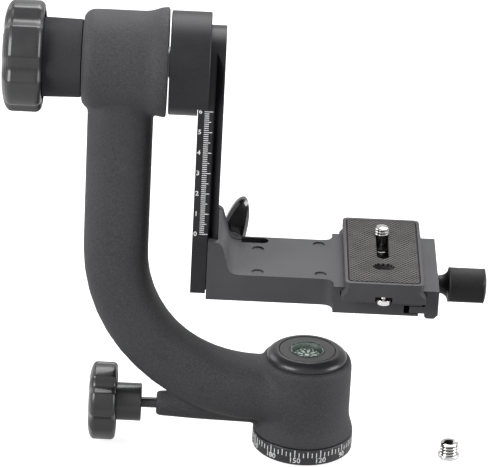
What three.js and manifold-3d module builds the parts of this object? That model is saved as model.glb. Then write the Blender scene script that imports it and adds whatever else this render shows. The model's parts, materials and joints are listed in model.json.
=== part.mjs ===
// A cantilever head for a camera with a long lens, in millimetres, +Z up.
// The origin is on the pan axis, on the base's bottom face. The arm stands on the -X side,
// the camera plate lies on the +X side, and -Y is the side with the height scale.
import * as THREE from 'three';
import { mergeVertices } from 'three/addons/utils/BufferGeometryUtils.js';
import Module from 'manifold-3d';

const wasm = await Module();
wasm.setup();

// Clearances, and how far a cut runs past the face it opens
const gap = 0.3;
const overrun = 1;
const weld = 0.0001;
const edgeBreak = 0.4;

// How finely round forms are faceted
const wideFacets = 48;
const midFacets = 28;
const smallFacets = 16;
const cornerFacets = 4;

// Base: index ring, spindle with its tripod socket, screws and nut
const ringRadius = 23.4;
const ringHeight = 7.8;
const spindleRadius = 9;
const flangeRadius = 16;
const flangeThickness = 3;
const socketRadius = 4.76;
const socketDepth = 14;
const spindleThreadRadius = 6;
const spindleThreadLength = 7.4;
const spindleNutRadius = 9.5;
const spindleNutThickness = 5;
const flangeScrewCount = 3;
const flangeScrewCircle = 12.6;
const flangeScrewRadius = 1.25;
const flangeScrewHeadRadius = 2.5;
const flangeScrewHeadDepth = 1.3;
const flangeScrewLength = 6.6;

// Pan bearings: a flanged bush below and a ball bearing above
const bushFlangeRadius = 18;
const bushFlangeThickness = 1;
const bushWall = 2.7;
const bushSleeveLength = 2.6;
const panBearingRadius = 14;
const panBearingWidth = 7;
const panTopRoom = 12.4;
const bearingGroove = 0.5;
const bearingGrooveShare = 0.5;

// Housing at the foot of the arm, waisted between its rim and its shoulder
const housingRadius = 21.2;
const housingRimDrop = 0.1;
const housingRimHeight = 1.1;
const housingFlareHeight = 9.8;
const housingHeight = 36.6;
const shoulderRadius = 2.2;
const flareShares = [[0.62, 0.32], [0.14, 0.65], [0, 1]];

// Arm: a cast beam that stands beside the camera and bends in under it
const armOffset = 90.4;
const armWidthTop = 29.8;
const armWidthFoot = 27.6;
const armDepth = 26;
const armBendRadius = 69;
const armFootHeight = 28.1;
const armHubSpread = 10;
const armHubSpreadLength = 26;
const armFootSpread = 13;
const armReachIntoHousing = 9;
const armSquareness = 2.7;
const beamFacets = 32;
const bendStations = 12;
const spreadStations = 4;

// Tilt hub at the top of the arm
const tiltAxisHeight = 188.9;
const hubRadius = 22.6;
const hubOuterRound = 4.4;
const hubOuterReach = 17.6;
const hubInnerReach = 20.5;
const hubFlareRadius = 24.7;
const hubFlareLength = 11;
const hubLipWidth = 3.4;
const hubFlareShares = [[0.3, 0.06], [0.6, 0.35], [0.85, 0.75], [1, 1]];

// Pan lock: a threaded barrel along the foot of the arm, with a lobed knob on its stud
const panLockHeight = 17.3;
const barrelEndRadius = 5.9;
const barrelMidRadius = 6.8;
const barrelRootRadius = 7.4;
const barrelReach = 69.5;
const barrelTaperLength = 20;
const panStudRadius = 2.46;
const panStudExposed = 6.5;
const panKnobHubRadius = 8.85;
const panKnobHubLength = 12;
const panKnobRadius = 18.3;
const panKnobThickness = 12.9;
const panKnobRound = 2.2;
const panKnobFaceRound = [3, 8];
const panKnobValleyDepth = 2.3;
const panKnobPhase = 50.9;
const studInKnob = 20;
const panShoeRadius = 4.8;
const panShoeLength = 12.2;
const shoeTravelRoom = 3;

// Tilt lock: a collar on the hub, with a large lobed knob that presses a pad on the shaft
const tiltBearingRadius = 13;
const tiltBearingWidth = 6.2;
const tiltShaftRadius = 7;
const collarRadius = 17.9;
const collarTaper = 0.4;
const collarLength = 19.1;
const collarSpigotLength = 10.7;
const collarCavityRadius = 10.5;
const retainerThickness = 0.9;
const retainerRadius = 9.2;
const retainerGroove = 0.8;
const padRadius = 6.5;
const padThickness = 3;
const tiltScrewRadius = 4;
const tiltKnobRadius = 25;
const tiltKnobThickness = 18;
const tiltKnobRound = 3;
const tiltKnobFaceRound = [4.5, 10];
const tiltKnobValleyDepth = 2.8;
const tiltKnobPhase = 6.8;
const tiltKnobRecess = 2;
const tiltScrewInKnob = 9;

// Lobed knobs: a face round is given as its depth and its width
const lobeCount = 6;
const lobeFacets = 54;
const valleyShare = 4 / 9;
const roundSteps = 3;
const faceSteps = 4;

// Swing: tilt disc, dovetail rail and what fastens them
const discRadius = 23.4;
const discThickness = 18;
const discClearance = 0.9;
const railWidth = 35.6;
const railBlockThickness = 6.9;
const railDovetailThickness = 4.5;
const railSink = 4.6;
const railBottomHeight = 83.7;
const dovetailUndercut = 3.9;
const dovetailLandInset = 0.7;
const dovetailNeck = railWidth - 2 * dovetailUndercut;
const dovetailLand = railWidth - 2 * dovetailLandInset;
const dovetailShelf = 0.6;
const dovetailLandThickness = 0.7;
const discFloor = 1.8;
const railScrewShare = 0.7;
const railScrewRadius = 2;
const railScrewHeadRadius = 3.5;
const railScrewHeadDepth = 3.4;
const railScrewLength = 15;

// Bracket: an upright that grips the rail, a platform and the fixed side of the clamp
const bracketBottomHeight = 82.3;
const platformHeight = 95.3;
const gripWall = 3.2;
const platformWidth = railWidth + 2 * gripWall;
const uprightTopHeight = 110.8;
const uprightTopRound = 3.5;
const uprightTopThickness = 5.3;
const uprightRootThickness = 9;
const uprightFilletRadius = 5.5;
const fingerSlit = 0.8;
const fingerThickness = 3.6;
const reliefStart = 10.6;
const reliefLength = 12.5;
const reliefWidth = 5.5;
const reliefWall = 1.2;
const dimpleRadius = 2.8;
const dimpleDepth = 0.7;
const dimpleNearShares = [[0.245, 0.38], [0.245, -0.79], [0.91, 0.75], [0.922, -0.77]];

// Clamp: fixed jaw, moving jaw, stud and knurled knob
const clampWidth = 57;
const clampCentre = 31.75;
const clampJawLand = 3.3;
const clampFilletRadius = 5;
const clampFloorHeight = 91.1;
const clampBaseReach = 17.75;
const clampLipReach = 16.35;
const clampGrooveWidth = 13;
const clampGrooveDepth = 2.4;
const tongueHeight = 83.7;
const tongueThickness = 3.4;
const tongueLength = 6.9;
const tongueSlotDepth = 8.1;
const jawHeight = 13.7;
const jawOuterReach = 25.25;
const jawBodyReach = 19.1;
const jawChamfer = 1.8;
const clampStudHeight = 85.4;
const clampStudRadius = 1.9;
const clampStudDepth = 19;
const clampKnobNeckRadius = 4.2;
const clampKnobRadius = 8.1;
const clampKnobFlare = 4.7;
const clampKnobLength = 16.1;
const clampKnobDome = 1.2;
const clampKnobBore = 18;
const clampWasherRadius = 4.6;
const clampWasherThickness = 0.7;

// Bracket lock: an oval bar knob behind the upright, with its washer and screw
const barAxisOffset = 10.9;
const barAxisHeight = 91.5;
const barLength = 42;
const barWidth = 12;
const barThickness = 6.5;
const barLean = 14;
const barHubRadius = 5.4;
const barHubLength = 1.8;
const barWasherRadius = 5.2;
const barWasherThickness = 1;
const barScrewRadius = 2.4;
const barScrewLength = 24;
const barScrewInKnob = 4.5;
const barRound = 1.6;
const barFacets = 32;

// Camera plate: dovetail plate with a rubber pad, end stops and a camera screw
const plateLength = 70.6;
const plateLipWidth = 35.7;
const plateFootWidth = 38.1;
const plateWaistWidth = 31;
const plateBottomHeight = 91.4;
const plateFootChamfer = 0.5;
const plateFootThickness = 1.55;
const plateLipHeight = 97.4;
const plateTopHeight = 100.8;
const plateCornerRadius = 2.6;
const padMargin = 1.7;
const padEndMargin = 2;
const rubberThickness = 1;
const rubberProud = 0.1;
const slotWidth = 5.8;
const slotFront = -8.5;
const slotBack = 21.3;
const headPocketRadius = 7.5;
const headPocketDepth = 4.5;
const ovalLength = 10;
const ovalWidth = 6.4;
const ovalDepth = 2.5;
const ovalPlace = -17;
const stopInset = 3.2;
const stopHeadRadius = 3.35;
const stopHeadHeight = 2.5;
const stopProud = 1.5;
const stopShankRadius = 1.5;
const stopShankLength = 4.4;
const stopNotchRoom = 0.55;
const cameraScrewPlace = 18.2;
const cameraScrewRadius = 3.175;
const cameraScrewProud = 3.8;
const cameraNeckRadius = 2.5;
const cameraHeadRadius = 6.8;
const cameraHeadThickness = 2.8;
const screwWasherThickness = 0.5;

// Cap on the housing, with a small compass under a clear dome
const capRadius = 18.5;
const capRim = 0.9;
const capHeight = 3.8;
const capTopRadius = 14.4;
const capSpigotLength = 4.2;
const insertRadius = 12.95;
const insertThickness = 1.3;
const insertSink = 0.15;
const bowlRadius = 8;
const bowlWall = 0.8;
const bowlDepth = 7.6;
const bowlFloor = 1.2;
const cardRadius = 6.4;
const cardThickness = 0.8;
const cardDrop = 3.2;
const pivotRadius = 0.7;
const pivotTipRadius = 0.2;
const domeRadius = 7.7;
const domeHeight = 2;
const capShoulderShares = [[0.35, 0.5], [0.75, 0.92], [1, 1]];

// Loose thread adapter that stands beside the base
const adapterPlaceX = 68.6;
const adapterPlaceY = -7.3;
const adapterFlangeRadius = 5;
const adapterFlangeThickness = 1.6;
const adapterRadius = 4.2;
const adapterHeight = 7.3;
const adapterBoreRadius = 2.6;
const adapterSlotWidth = 1.5;
const adapterSlotDepth = 1.4;
const adapterSlotTurn = 28;

// Finishes
const finishes = {
  powder: { color: 0x46474a, roughness: 0.8, metalness: 0.1 },
  anodised: { color: 0x3e3f44, roughness: 0.5, metalness: 0.5 },
  anodisedLight: { color: 0x5c5c61, roughness: 0.5, metalness: 0.4 },
  gloss: { color: 0x2f2f34, roughness: 0.25, metalness: 0 },
  matte: { color: 0x2e2e31, roughness: 0.7, metalness: 0 },
  rubber: { color: 0x6c6866, roughness: 0.9, metalness: 0 },
  steel: { color: 0xb8babd, roughness: 0.3, metalness: 0.9 },
  bronze: { color: 0x9a7b4a, roughness: 0.45, metalness: 0.8 },
  card: { color: 0x2c4a3b, roughness: 0.6, metalness: 0 },
  clear: { color: 0xd8e6dd, roughness: 0.05, metalness: 0 },
};

const head = new THREE.Group();

// A closed geometry as a solid: shared vertices become one and flat triangles go
function solidOf(geometry) {
  const bare = new THREE.BufferGeometry();
  bare.setAttribute('position', geometry.getAttribute('position').clone());
  if (geometry.index) bare.setIndex(geometry.index.clone());
  const merged = mergeVertices(bare, weld);
  const corners = merged.index.array;
  const kept = [];
  for (let i = 0; i < corners.length; i += 3) {
    const [a, b, c] = [corners[i], corners[i + 1], corners[i + 2]];
    if (a !== b && b !== c && c !== a) kept.push(a, b, c);
  }
  return new wasm.Manifold(new wasm.Mesh({
    numProp: 3,
    vertProperties: new Float32Array(merged.getAttribute('position').array),
    triVerts: new Uint32Array(kept),
  }));
}

function joined(...solids) {
  return solids.reduce((whole, next) => whole.add(next));
}

function cutBy(body, ...tools) {
  return tools.reduce((left, tool) => left.subtract(tool), body);
}

function moved(solid, x, y, z) {
  return solid.translate([x, y, z]);
}

// Named pieces: each becomes one mesh of the head
function piece(name, solid, finish) {
  const { vertProperties, triVerts, numProp } = solid.getMesh();
  const points = [];
  for (let i = 0; i < vertProperties.length; i += numProp) {
    points.push(vertProperties[i], vertProperties[i + 1], vertProperties[i + 2]);
  }
  const geometry = new THREE.BufferGeometry();
  geometry.setAttribute('position', new THREE.Float32BufferAttribute(points, 3));
  geometry.setIndex([...triVerts]);
  geometry.computeVertexNormals();
  const mesh = new THREE.Mesh(geometry, new THREE.MeshStandardMaterial(finishes[finish]));
  mesh.name = name;
  head.add(mesh);
}

// Turned forms: a profile of [radius, height] pairs spun about X, Y or Z
function turned(axis, profile, facets = wideFacets) {
  let area = 0;
  profile.forEach(([r, h], i) => {
    const [nextR, nextH] = profile[(i + 1) % profile.length];
    area += r * nextH - nextR * h;
  });
  const order = area > 0 ? [...profile] : [...profile].reverse();
  const onAxis = order.every(([r]) => r > 0) ? -1 : order.findIndex(([r], i) => {
    const before = order[(i + order.length - 1) % order.length];
    return r === 0 && before[0] === 0;
  });
  const turnedOrder = onAxis > 0 ? [...order.slice(onAxis), ...order.slice(0, onAxis)] : order;
  const closed = onAxis < 0 ? [...turnedOrder, turnedOrder[0]] : turnedOrder;
  const geometry = new THREE.LatheGeometry(closed.map(([r, h]) => new THREE.Vector2(r, h)), facets);
  if (axis === 'z') geometry.rotateX(Math.PI / 2);
  if (axis === 'x') geometry.rotateZ(-Math.PI / 2);
  return solidOf(geometry);
}

function rod(axis, radius, from, to, facets = midFacets) {
  return turned(axis, [[0, from], [radius, from], [radius, to], [0, to]], facets);
}

function ring(axis, inner, outer, from, to, facets = midFacets) {
  return turned(axis, [[outer, from], [outer, to], [inner, to], [inner, from]], facets);
}

// Sawn forms: an outline pushed along X, Y or Z from one place to another
function pushed(axis, outline, from, to) {
  const shape = outline instanceof THREE.Shape
    ? outline
    : new THREE.Shape(outline.map(([a, b]) => new THREE.Vector2(a, b)));
  const depth = to - from;
  const geometry = new THREE.ExtrudeGeometry(shape, {
    depth,
    bevelEnabled: false,
    curveSegments: cornerFacets,
  });
  if (axis === 'y') geometry.rotateX(Math.PI / 2).translate(0, to, 0);
  if (axis === 'z') geometry.translate(0, 0, from);
  if (axis === 'x') {
    const turn = new THREE.Matrix4().makeBasis(
      new THREE.Vector3(0, 1, 0),
      new THREE.Vector3(0, 0, 1),
      new THREE.Vector3(1, 0, 0),
    );
    geometry.applyMatrix4(turn).translate(from, 0, 0);
  }
  return solidOf(geometry);
}

function block(x0, x1, y0, y1, z0, z1) {
  return pushed('z', [[x0, y0], [x1, y0], [x1, y1], [x0, y1]], z0, z1);
}

// A rectangle with round corners, or with round ends where the radius is half its width
function roundedRectangle(x0, x1, y0, y1, radius) {
  const shape = new THREE.Shape();
  shape.moveTo(x0 + radius, y0);
  shape.lineTo(x1 - radius, y0);
  shape.absarc(x1 - radius, y0 + radius, radius, -Math.PI / 2, 0, false);
  shape.lineTo(x1, y1 - radius);
  shape.absarc(x1 - radius, y1 - radius, radius, 0, Math.PI / 2, false);
  shape.lineTo(x0 + radius, y1);
  shape.absarc(x0 + radius, y1 - radius, radius, Math.PI / 2, Math.PI, false);
  shape.lineTo(x0, y0 + radius);
  shape.absarc(x0 + radius, y0 + radius, radius, Math.PI, Math.PI * 1.5, false);
  return shape;
}

// Lofted forms: rings of points joined skin to skin and closed at both ends
function lofted(rings) {
  const count = rings[0].length;
  const positions = rings.flat().flatMap((point) => point.toArray());
  const index = [];
  for (let r = 0; r < rings.length - 1; r += 1) {
    for (let i = 0; i < count; i += 1) {
      const a = r * count + i;
      const b = r * count + ((i + 1) % count);
      index.push(a, b, b + count, a, b + count, a + count);
    }
  }
  const closeEnd = (ringNumber, flip) => {
    const middle = positions.length / 3;
    const centre = new THREE.Vector3();
    rings[ringNumber].forEach((point) => centre.add(point));
    positions.push(...centre.divideScalar(count).toArray());
    for (let i = 0; i < count; i += 1) {
      const a = ringNumber * count + i;
      const b = ringNumber * count + ((i + 1) % count);
      index.push(...(flip ? [middle, b, a] : [middle, a, b]));
    }
  };
  closeEnd(0, true);
  closeEnd(rings.length - 1, false);
  const geometry = new THREE.BufferGeometry();
  geometry.setAttribute('position', new THREE.Float32BufferAttribute(positions, 3));
  geometry.setIndex(index);
  return solidOf(geometry);
}

const smooth = (t) => t * t * (3 - 2 * t);
const mix = (a, b, t) => a + (b - a) * t;

// Base ring and spindle
const socketTop = socketDepth;
const housingBottom = ringHeight + gap;
const housingTop = housingBottom + housingHeight;
const bearingTop = housingTop - panTopRoom;
const bearingBottom = bearingTop - panBearingWidth;
const spindleShoulder = bearingTop + gap;
const spindleTop = spindleShoulder + spindleThreadLength;

function flangeScrewPlaces() {
  return Array.from({ length: flangeScrewCount }, (_, i) => {
    const angle = (i / flangeScrewCount) * Math.PI * 2 + Math.PI / 2;
    return [Math.cos(angle) * flangeScrewCircle, Math.sin(angle) * flangeScrewCircle];
  });
}

function flangeScrew(clearance) {
  const deep = clearance > 0 ? overrun : 0;
  const headTop = flangeScrewHeadDepth + clearance;
  return turned('z', [
    [0, -deep],
    [flangeScrewHeadRadius + clearance, -deep],
    [flangeScrewHeadRadius + clearance, clearance],
    [flangeScrewRadius + clearance, headTop],
    [flangeScrewRadius + clearance, flangeScrewLength + clearance],
    [0, flangeScrewLength + clearance],
  ], smallFacets);
}

function buildBase() {
  const holes = flangeScrewPlaces().map(([x, y]) => moved(flangeScrew(gap), x, y, 0));
  const ringBody = turned('z', [
    [flangeRadius + gap, 0],
    [ringRadius - edgeBreak, 0],
    [ringRadius, edgeBreak],
    [ringRadius, ringHeight - edgeBreak],
    [ringRadius - edgeBreak, ringHeight],
    [spindleRadius + gap, ringHeight],
    [spindleRadius + gap, flangeThickness + gap],
    [flangeRadius + gap, flangeThickness + gap],
  ]);
  piece('base_ring', cutBy(ringBody, ...holes), 'anodised');

  const spindle = turned('z', [
    [socketRadius, 0],
    [flangeRadius, 0],
    [flangeRadius, flangeThickness],
    [spindleRadius, flangeThickness],
    [spindleRadius, spindleShoulder],
    [spindleThreadRadius, spindleShoulder],
    [spindleThreadRadius, spindleTop],
    [0, spindleTop],
    [0, socketTop],
    [socketRadius, socketTop],
  ]);
  piece('pan_spindle', cutBy(spindle, ...holes), 'steel');

  flangeScrewPlaces().forEach(([x, y], i) => {
    piece('flange_screw_' + (i + 1), moved(flangeScrew(0), x, y, 0), 'steel');
  });

  const nutBottom = spindleShoulder + gap;
  const nutTop = nutBottom + spindleNutThickness;
  piece('spindle_nut', cutBy(
    rod('z', spindleNutRadius, nutBottom, nutTop, lobeCount),
    rod('z', spindleThreadRadius + gap, nutBottom - overrun, nutTop + overrun),
  ), 'steel');
}

// Pan bearings
function ballBearing(axis, inner, outer, from, to) {
  const middle = mix(inner, outer, 1 / 2);
  const half = (outer - inner) * bearingGrooveShare / 2;
  const grooved = (inside, face) => ring(axis, middle - half, middle + half, inside, face);
  return cutBy(
    ring(axis, inner, outer, from, to),
    grooved(from - overrun, from + bearingGroove),
    grooved(to - bearingGroove, to + overrun),
  );
}

function buildPanBearings() {
  const inner = spindleRadius + gap;
  const sleeveBottom = housingBottom + bushFlangeThickness;
  piece('pan_bush', turned('z', [
    [inner, housingBottom],
    [bushFlangeRadius, housingBottom],
    [bushFlangeRadius, sleeveBottom],
    [inner + bushWall, sleeveBottom],
    [inner + bushWall, sleeveBottom + bushSleeveLength],
    [inner, sleeveBottom + bushSleeveLength],
  ]), 'bronze');
  piece('pan_bearing', ballBearing('z', inner, panBearingRadius, bearingBottom, bearingTop), 'steel');
}

// Arm: stations down the beam carry a squared oval that spreads into the hub and the housing
const bendCentreX = armBendRadius - armOffset;
const bendCentreZ = armFootHeight + armBendRadius;
const hubLeft = -armOffset - hubOuterReach;
const hubRight = -armOffset + hubInnerReach;

function beamStations() {
  const stations = [];
  for (let i = 0; i <= spreadStations; i += 1) {
    const t = i / spreadStations;
    stations.push({
      centre: new THREE.Vector3(-armOffset, 0, tiltAxisHeight - hubRadius / 3 - armHubSpreadLength * t),
      turn: 0,
      width: armWidthTop,
      depth: armDepth + armHubSpread * (1 - smooth(t)),
    });
  }
  for (let i = 0; i <= bendStations; i += 1) {
    const t = i / bendStations;
    const turn = t * Math.PI / 2;
    const spread = smooth(Math.max(0, 2 * t - 1));
    stations.push({
      centre: new THREE.Vector3(
        bendCentreX - Math.cos(turn) * armBendRadius,
        0,
        bendCentreZ - Math.sin(turn) * armBendRadius,
      ),
      turn,
      width: mix(armWidthTop, armWidthFoot, Math.min(1, 2 * t)),
      depth: armDepth + armFootSpread * spread / 2,
    });
  }
  for (let i = 1; i <= spreadStations - 1; i += 1) {
    const t = i / (spreadStations - 1);
    stations.push({
      centre: new THREE.Vector3(mix(bendCentreX, -armReachIntoHousing, t), 0, armFootHeight),
      turn: Math.PI / 2,
      width: armWidthFoot,
      depth: armDepth + armFootSpread * (1 + smooth(t)) / 2,
    });
  }
  return stations;
}

function squaredOval({ centre, turn, width, depth }) {
  const across = new THREE.Vector3(Math.cos(turn), 0, Math.sin(turn));
  return Array.from({ length: beamFacets }, (_, i) => {
    const angle = (i / beamFacets) * Math.PI * 2;
    const power = 2 / armSquareness;
    const c = Math.cos(angle);
    const s = Math.sin(angle);
    const x = Math.sign(c) * Math.abs(c) ** power * width / 2;
    const y = Math.sign(s) * Math.abs(s) ** power * depth / 2;
    return centre.clone().addScaledVector(across, x).add(new THREE.Vector3(0, -y, 0));
  });
}

function quarterRound(centreR, centreH, radius, from, to, steps = cornerFacets) {
  return Array.from({ length: steps + 1 }, (_, i) => {
    const angle = mix(from, to, i / steps);
    return [centreR + radius * Math.cos(angle), centreH + radius * Math.sin(angle)];
  });
}

function housingForm() {
  const rim = ringRadius - housingRimDrop;
  const flareFoot = housingBottom + housingRimHeight;
  const flare = flareShares.map(([out, up]) => [
    mix(housingRadius, rim, out),
    flareFoot + (housingFlareHeight - housingRimHeight) * up,
  ]);
  return turned('z', [
    [0, housingBottom],
    [rim, housingBottom],
    [rim, flareFoot],
    ...flare,
    ...quarterRound(housingRadius - shoulderRadius, housingTop - shoulderRadius, shoulderRadius,
      0, Math.PI / 2),
    [0, housingTop],
  ]);
}

function hubForm() {
  const flareStart = hubRight - hubFlareLength;
  const flareRun = hubFlareLength - hubLipWidth;
  const flare = hubFlareShares.map(([along, out]) => [
    mix(hubRadius, hubFlareRadius, out),
    flareStart + flareRun * along,
  ]);
  return turned('x', [
    [0, hubLeft],
    ...quarterRound(hubRadius - hubOuterRound, hubLeft + hubOuterRound, hubOuterRound,
      -Math.PI / 2, 0),
    [hubRadius, flareStart],
    ...flare,
    [hubFlareRadius, hubRight - edgeBreak],
    [hubFlareRadius - edgeBreak, hubRight],
    [0, hubRight],
  ]);
}

function barrelForm() {
  return turned('x', [
    [0, -barrelReach],
    [barrelEndRadius - edgeBreak, -barrelReach],
    [barrelEndRadius, -barrelReach + edgeBreak],
    [barrelMidRadius, -barrelReach + barrelTaperLength],
    [barrelRootRadius, -housingRadius],
    [barrelRootRadius, -spindleRadius - bushWall],
    [0, -spindleRadius - bushWall],
  ], midFacets);
}

const bushBore = spindleRadius + gap + bushWall + gap;
const shoeOuterEnd = -(spindleRadius + gap) - panShoeLength;
const innerBearingLeft = -armOffset - tiltBearingWidth - gap;
const collarLeft = hubLeft - gap - collarLength;
const spigotEnd = hubLeft - gap + collarSpigotLength;

function buildArm() {
  const beam = lofted(beamStations().map(squaredOval));
  const body = joined(
    beam,
    housingForm(),
    moved(hubForm(), 0, 0, tiltAxisHeight),
    moved(barrelForm(), 0, 0, panLockHeight),
  );
  const panBore = turned('z', [
    [0, housingBottom - overrun],
    [bushFlangeRadius + gap, housingBottom - overrun],
    [bushFlangeRadius + gap, housingBottom + bushFlangeThickness + gap],
    [bushBore, housingBottom + bushFlangeThickness + gap],
    [bushBore, bearingBottom - gap],
    [panBearingRadius + gap, bearingBottom - gap],
    [panBearingRadius + gap, housingTop + overrun],
    [0, housingTop + overrun],
  ]);
  const lockBore = turned('x', [
    [0, -barrelReach - overrun],
    [panStudRadius + gap, -barrelReach - overrun],
    [panStudRadius + gap, shoeOuterEnd - shoeTravelRoom],
    [panShoeRadius + gap, shoeOuterEnd - shoeTravelRoom],
    [panShoeRadius + gap, -spindleRadius],
    [0, -spindleRadius],
  ], midFacets);
  const tiltBore = turned('x', [
    [0, hubLeft - overrun],
    [tiltBearingRadius + gap, hubLeft - overrun],
    [tiltBearingRadius + gap, -armOffset],
    [tiltShaftRadius + 2 * edgeBreak + gap, -armOffset],
    [tiltShaftRadius + 2 * edgeBreak + gap, hubRight - tiltBearingWidth - 2 * gap],
    [tiltBearingRadius + gap, hubRight - tiltBearingWidth - 2 * gap],
    [tiltBearingRadius + gap, hubRight + overrun],
    [0, hubRight + overrun],
  ], midFacets);
  piece('arm_casting', cutBy(
    body,
    panBore,
    moved(lockBore, 0, 0, panLockHeight),
    moved(tiltBore, 0, 0, tiltAxisHeight),
  ), 'powder');

  const shaftBore = tiltShaftRadius + gap;
  const outerRight = hubRight - gap;
  const atTilt = (solid) => moved(solid, 0, 0, tiltAxisHeight);
  piece('tilt_bearing_inner', atTilt(ballBearing('x', shaftBore, tiltBearingRadius,
    innerBearingLeft, innerBearingLeft + tiltBearingWidth)), 'steel');
  piece('tilt_bearing_outer', atTilt(ballBearing('x', shaftBore, tiltBearingRadius,
    outerRight - tiltBearingWidth, outerRight)), 'steel');
}

// Knobs: an outline of lobes and valleys, drawn in at both ends
function lobedKnob(radius, valley, phase, from, to, faceRound, backRound) {
  const half = valleyShare / 2;
  const ringAt = (x, inset) => Array.from({ length: lobeFacets }, (_, i) => {
    const turn = (i / lobeFacets) * lobeCount;
    const away = Math.abs(turn - Math.round(turn));
    const dip = away < half ? Math.cos((away / half) * Math.PI / 2) : 0;
    const angle = (i / lobeFacets) * Math.PI * 2 + THREE.MathUtils.degToRad(phase);
    const r = radius - valley * dip - inset;
    return new THREE.Vector3(x, -r * Math.cos(angle), r * Math.sin(angle));
  });
  const rounded = (steps, depth, width) => Array.from({ length: steps + 1 }, (_, i) => {
    const angle = (i / steps) * Math.PI / 2;
    return [depth * (1 - Math.sin(angle)), width * (1 - Math.cos(angle))];
  });
  const face = rounded(faceSteps, ...faceRound).map(([along, inset]) => ringAt(from + along, inset));
  const back = rounded(roundSteps, backRound, backRound).reverse()
    .map(([along, inset]) => ringAt(to - along, inset));
  return lofted([...back, ...face]);
}

function buildPanLock() {
  const atLock = (solid) => moved(solid, 0, 0, panLockHeight);
  const knobHubRight = -barrelReach - panStudExposed;
  const knobRight = knobHubRight - panKnobHubLength + edgeBreak;
  const knobLeft = knobRight - panKnobThickness;
  const studLeft = knobHubRight - studInKnob;

  const shoe = cutBy(
    rod('x', panShoeRadius, shoeOuterEnd, -spindleRadius + overrun),
    moved(rod('z', spindleRadius + gap, -spindleRadius, spindleRadius, wideFacets), 0, 0, 0),
  );
  piece('pan_brake_shoe', atLock(shoe), 'bronze');

  const body = joined(
    lobedKnob(panKnobRadius, panKnobValleyDepth, panKnobPhase, knobLeft, knobRight,
      panKnobFaceRound, panKnobRound),
    turned('x', [
      [0, knobRight - overrun],
      [panKnobHubRadius, knobRight - overrun],
      [panKnobHubRadius, knobHubRight - edgeBreak],
      [panKnobHubRadius - edgeBreak, knobHubRight],
      [0, knobHubRight],
    ], midFacets),
  );
  const bore = rod('x', panStudRadius + gap, studLeft - gap, knobHubRight + overrun, smallFacets);
  piece('pan_knob', atLock(cutBy(body, bore)), 'gloss');
  piece('pan_knob_stud', atLock(rod('x', panStudRadius, studLeft, shoeOuterEnd - gap, smallFacets)),
    'steel');
}

function buildTiltLock() {
  const atTilt = (solid) => moved(solid, 0, 0, tiltAxisHeight);
  const shaftEnd = innerBearingLeft - retainerThickness - 3 * gap;
  const padRight = shaftEnd - gap;
  const padLeft = padRight - padThickness;
  const cavityEnd = padLeft - shoeTravelRoom;
  const screwBore = tiltScrewRadius + gap;

  piece('tilt_collar', atTilt(turned('x', [
    [screwBore, collarLeft],
    [collarRadius - edgeBreak, collarLeft],
    [collarRadius, collarLeft + edgeBreak],
    [collarRadius - collarTaper, hubLeft - gap],
    [tiltBearingRadius, hubLeft - gap],
    [tiltBearingRadius, spigotEnd],
    [collarCavityRadius, spigotEnd],
    [collarCavityRadius, cavityEnd],
    [screwBore, cavityEnd],
  ])), 'matte');
  piece('tilt_brake_pad', atTilt(rod('x', padRadius, padLeft, padRight)), 'bronze');

  const knobRight = collarLeft + tiltKnobRecess;
  const knobLeft = knobRight - tiltKnobThickness;
  const screwLeft = collarLeft - gap - tiltScrewInKnob;
  const knob = cutBy(
    lobedKnob(tiltKnobRadius, tiltKnobValleyDepth, tiltKnobPhase, knobLeft, knobRight,
      tiltKnobFaceRound, tiltKnobRound),
    rod('x', collarRadius + gap, collarLeft - gap, knobRight + overrun),
    rod('x', tiltScrewRadius + gap, screwLeft - gap, knobRight + overrun, smallFacets),
  );
  piece('tilt_knob', atTilt(knob), 'gloss');
  piece('tilt_knob_screw', atTilt(rod('x', tiltScrewRadius, screwLeft, padLeft - gap, smallFacets)),
    'steel');
}

// Swing: disc, rail, shaft, retainer and screws turn together about the tilt axis
const discLeft = hubRight + discClearance;
const discRight = discLeft + discThickness;
const railLeft = discRight - railSink;
const railShelf = railLeft + railBlockThickness;
const railFace = railLeft + railBlockThickness + railDovetailThickness;

function railOutline(clearance, bottom) {
  const half = railWidth / 2 + clearance;
  const shape = new THREE.Shape();
  shape.moveTo(-half, bottom);
  shape.lineTo(half, bottom);
  shape.lineTo(half, tiltAxisHeight);
  const steps = midFacets / 2;
  for (let i = 1; i <= steps; i += 1) {
    const angle = (i / steps) * Math.PI;
    shape.lineTo(Math.cos(angle) * half, tiltAxisHeight + Math.sin(angle) * half);
  }
  return shape;
}

function railGroove(side) {
  const landRun = railFace - dovetailLandThickness;
  const points = [
    [railShelf, railWidth / 2 + overrun],
    [railShelf, dovetailNeck / 2],
    [railShelf + dovetailShelf, dovetailNeck / 2],
    [landRun, dovetailLand / 2],
    [railFace + overrun, dovetailLand / 2],
    [railFace + overrun, railWidth / 2 + overrun],
  ].map(([x, y]) => [x, y * side]);
  const ordered = side > 0 ? points : points.reverse();
  const top = tiltAxisHeight + railWidth / 2 + overrun;
  return pushed('z', ordered, railBottomHeight - overrun, top);
}

function railScrew(clearance) {
  const reach = clearance > 0 ? overrun : 0;
  const headLeft = railFace - edgeBreak - railScrewHeadDepth - clearance;
  return turned('x', [
    [0, railFace - edgeBreak - railScrewLength - clearance],
    [railScrewRadius + clearance, railFace - edgeBreak - railScrewLength - clearance],
    [railScrewRadius + clearance, headLeft],
    [railScrewHeadRadius + clearance, headLeft],
    [railScrewHeadRadius + clearance, railFace - edgeBreak + reach],
    [0, railFace - edgeBreak + reach],
  ], smallFacets);
}

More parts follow.
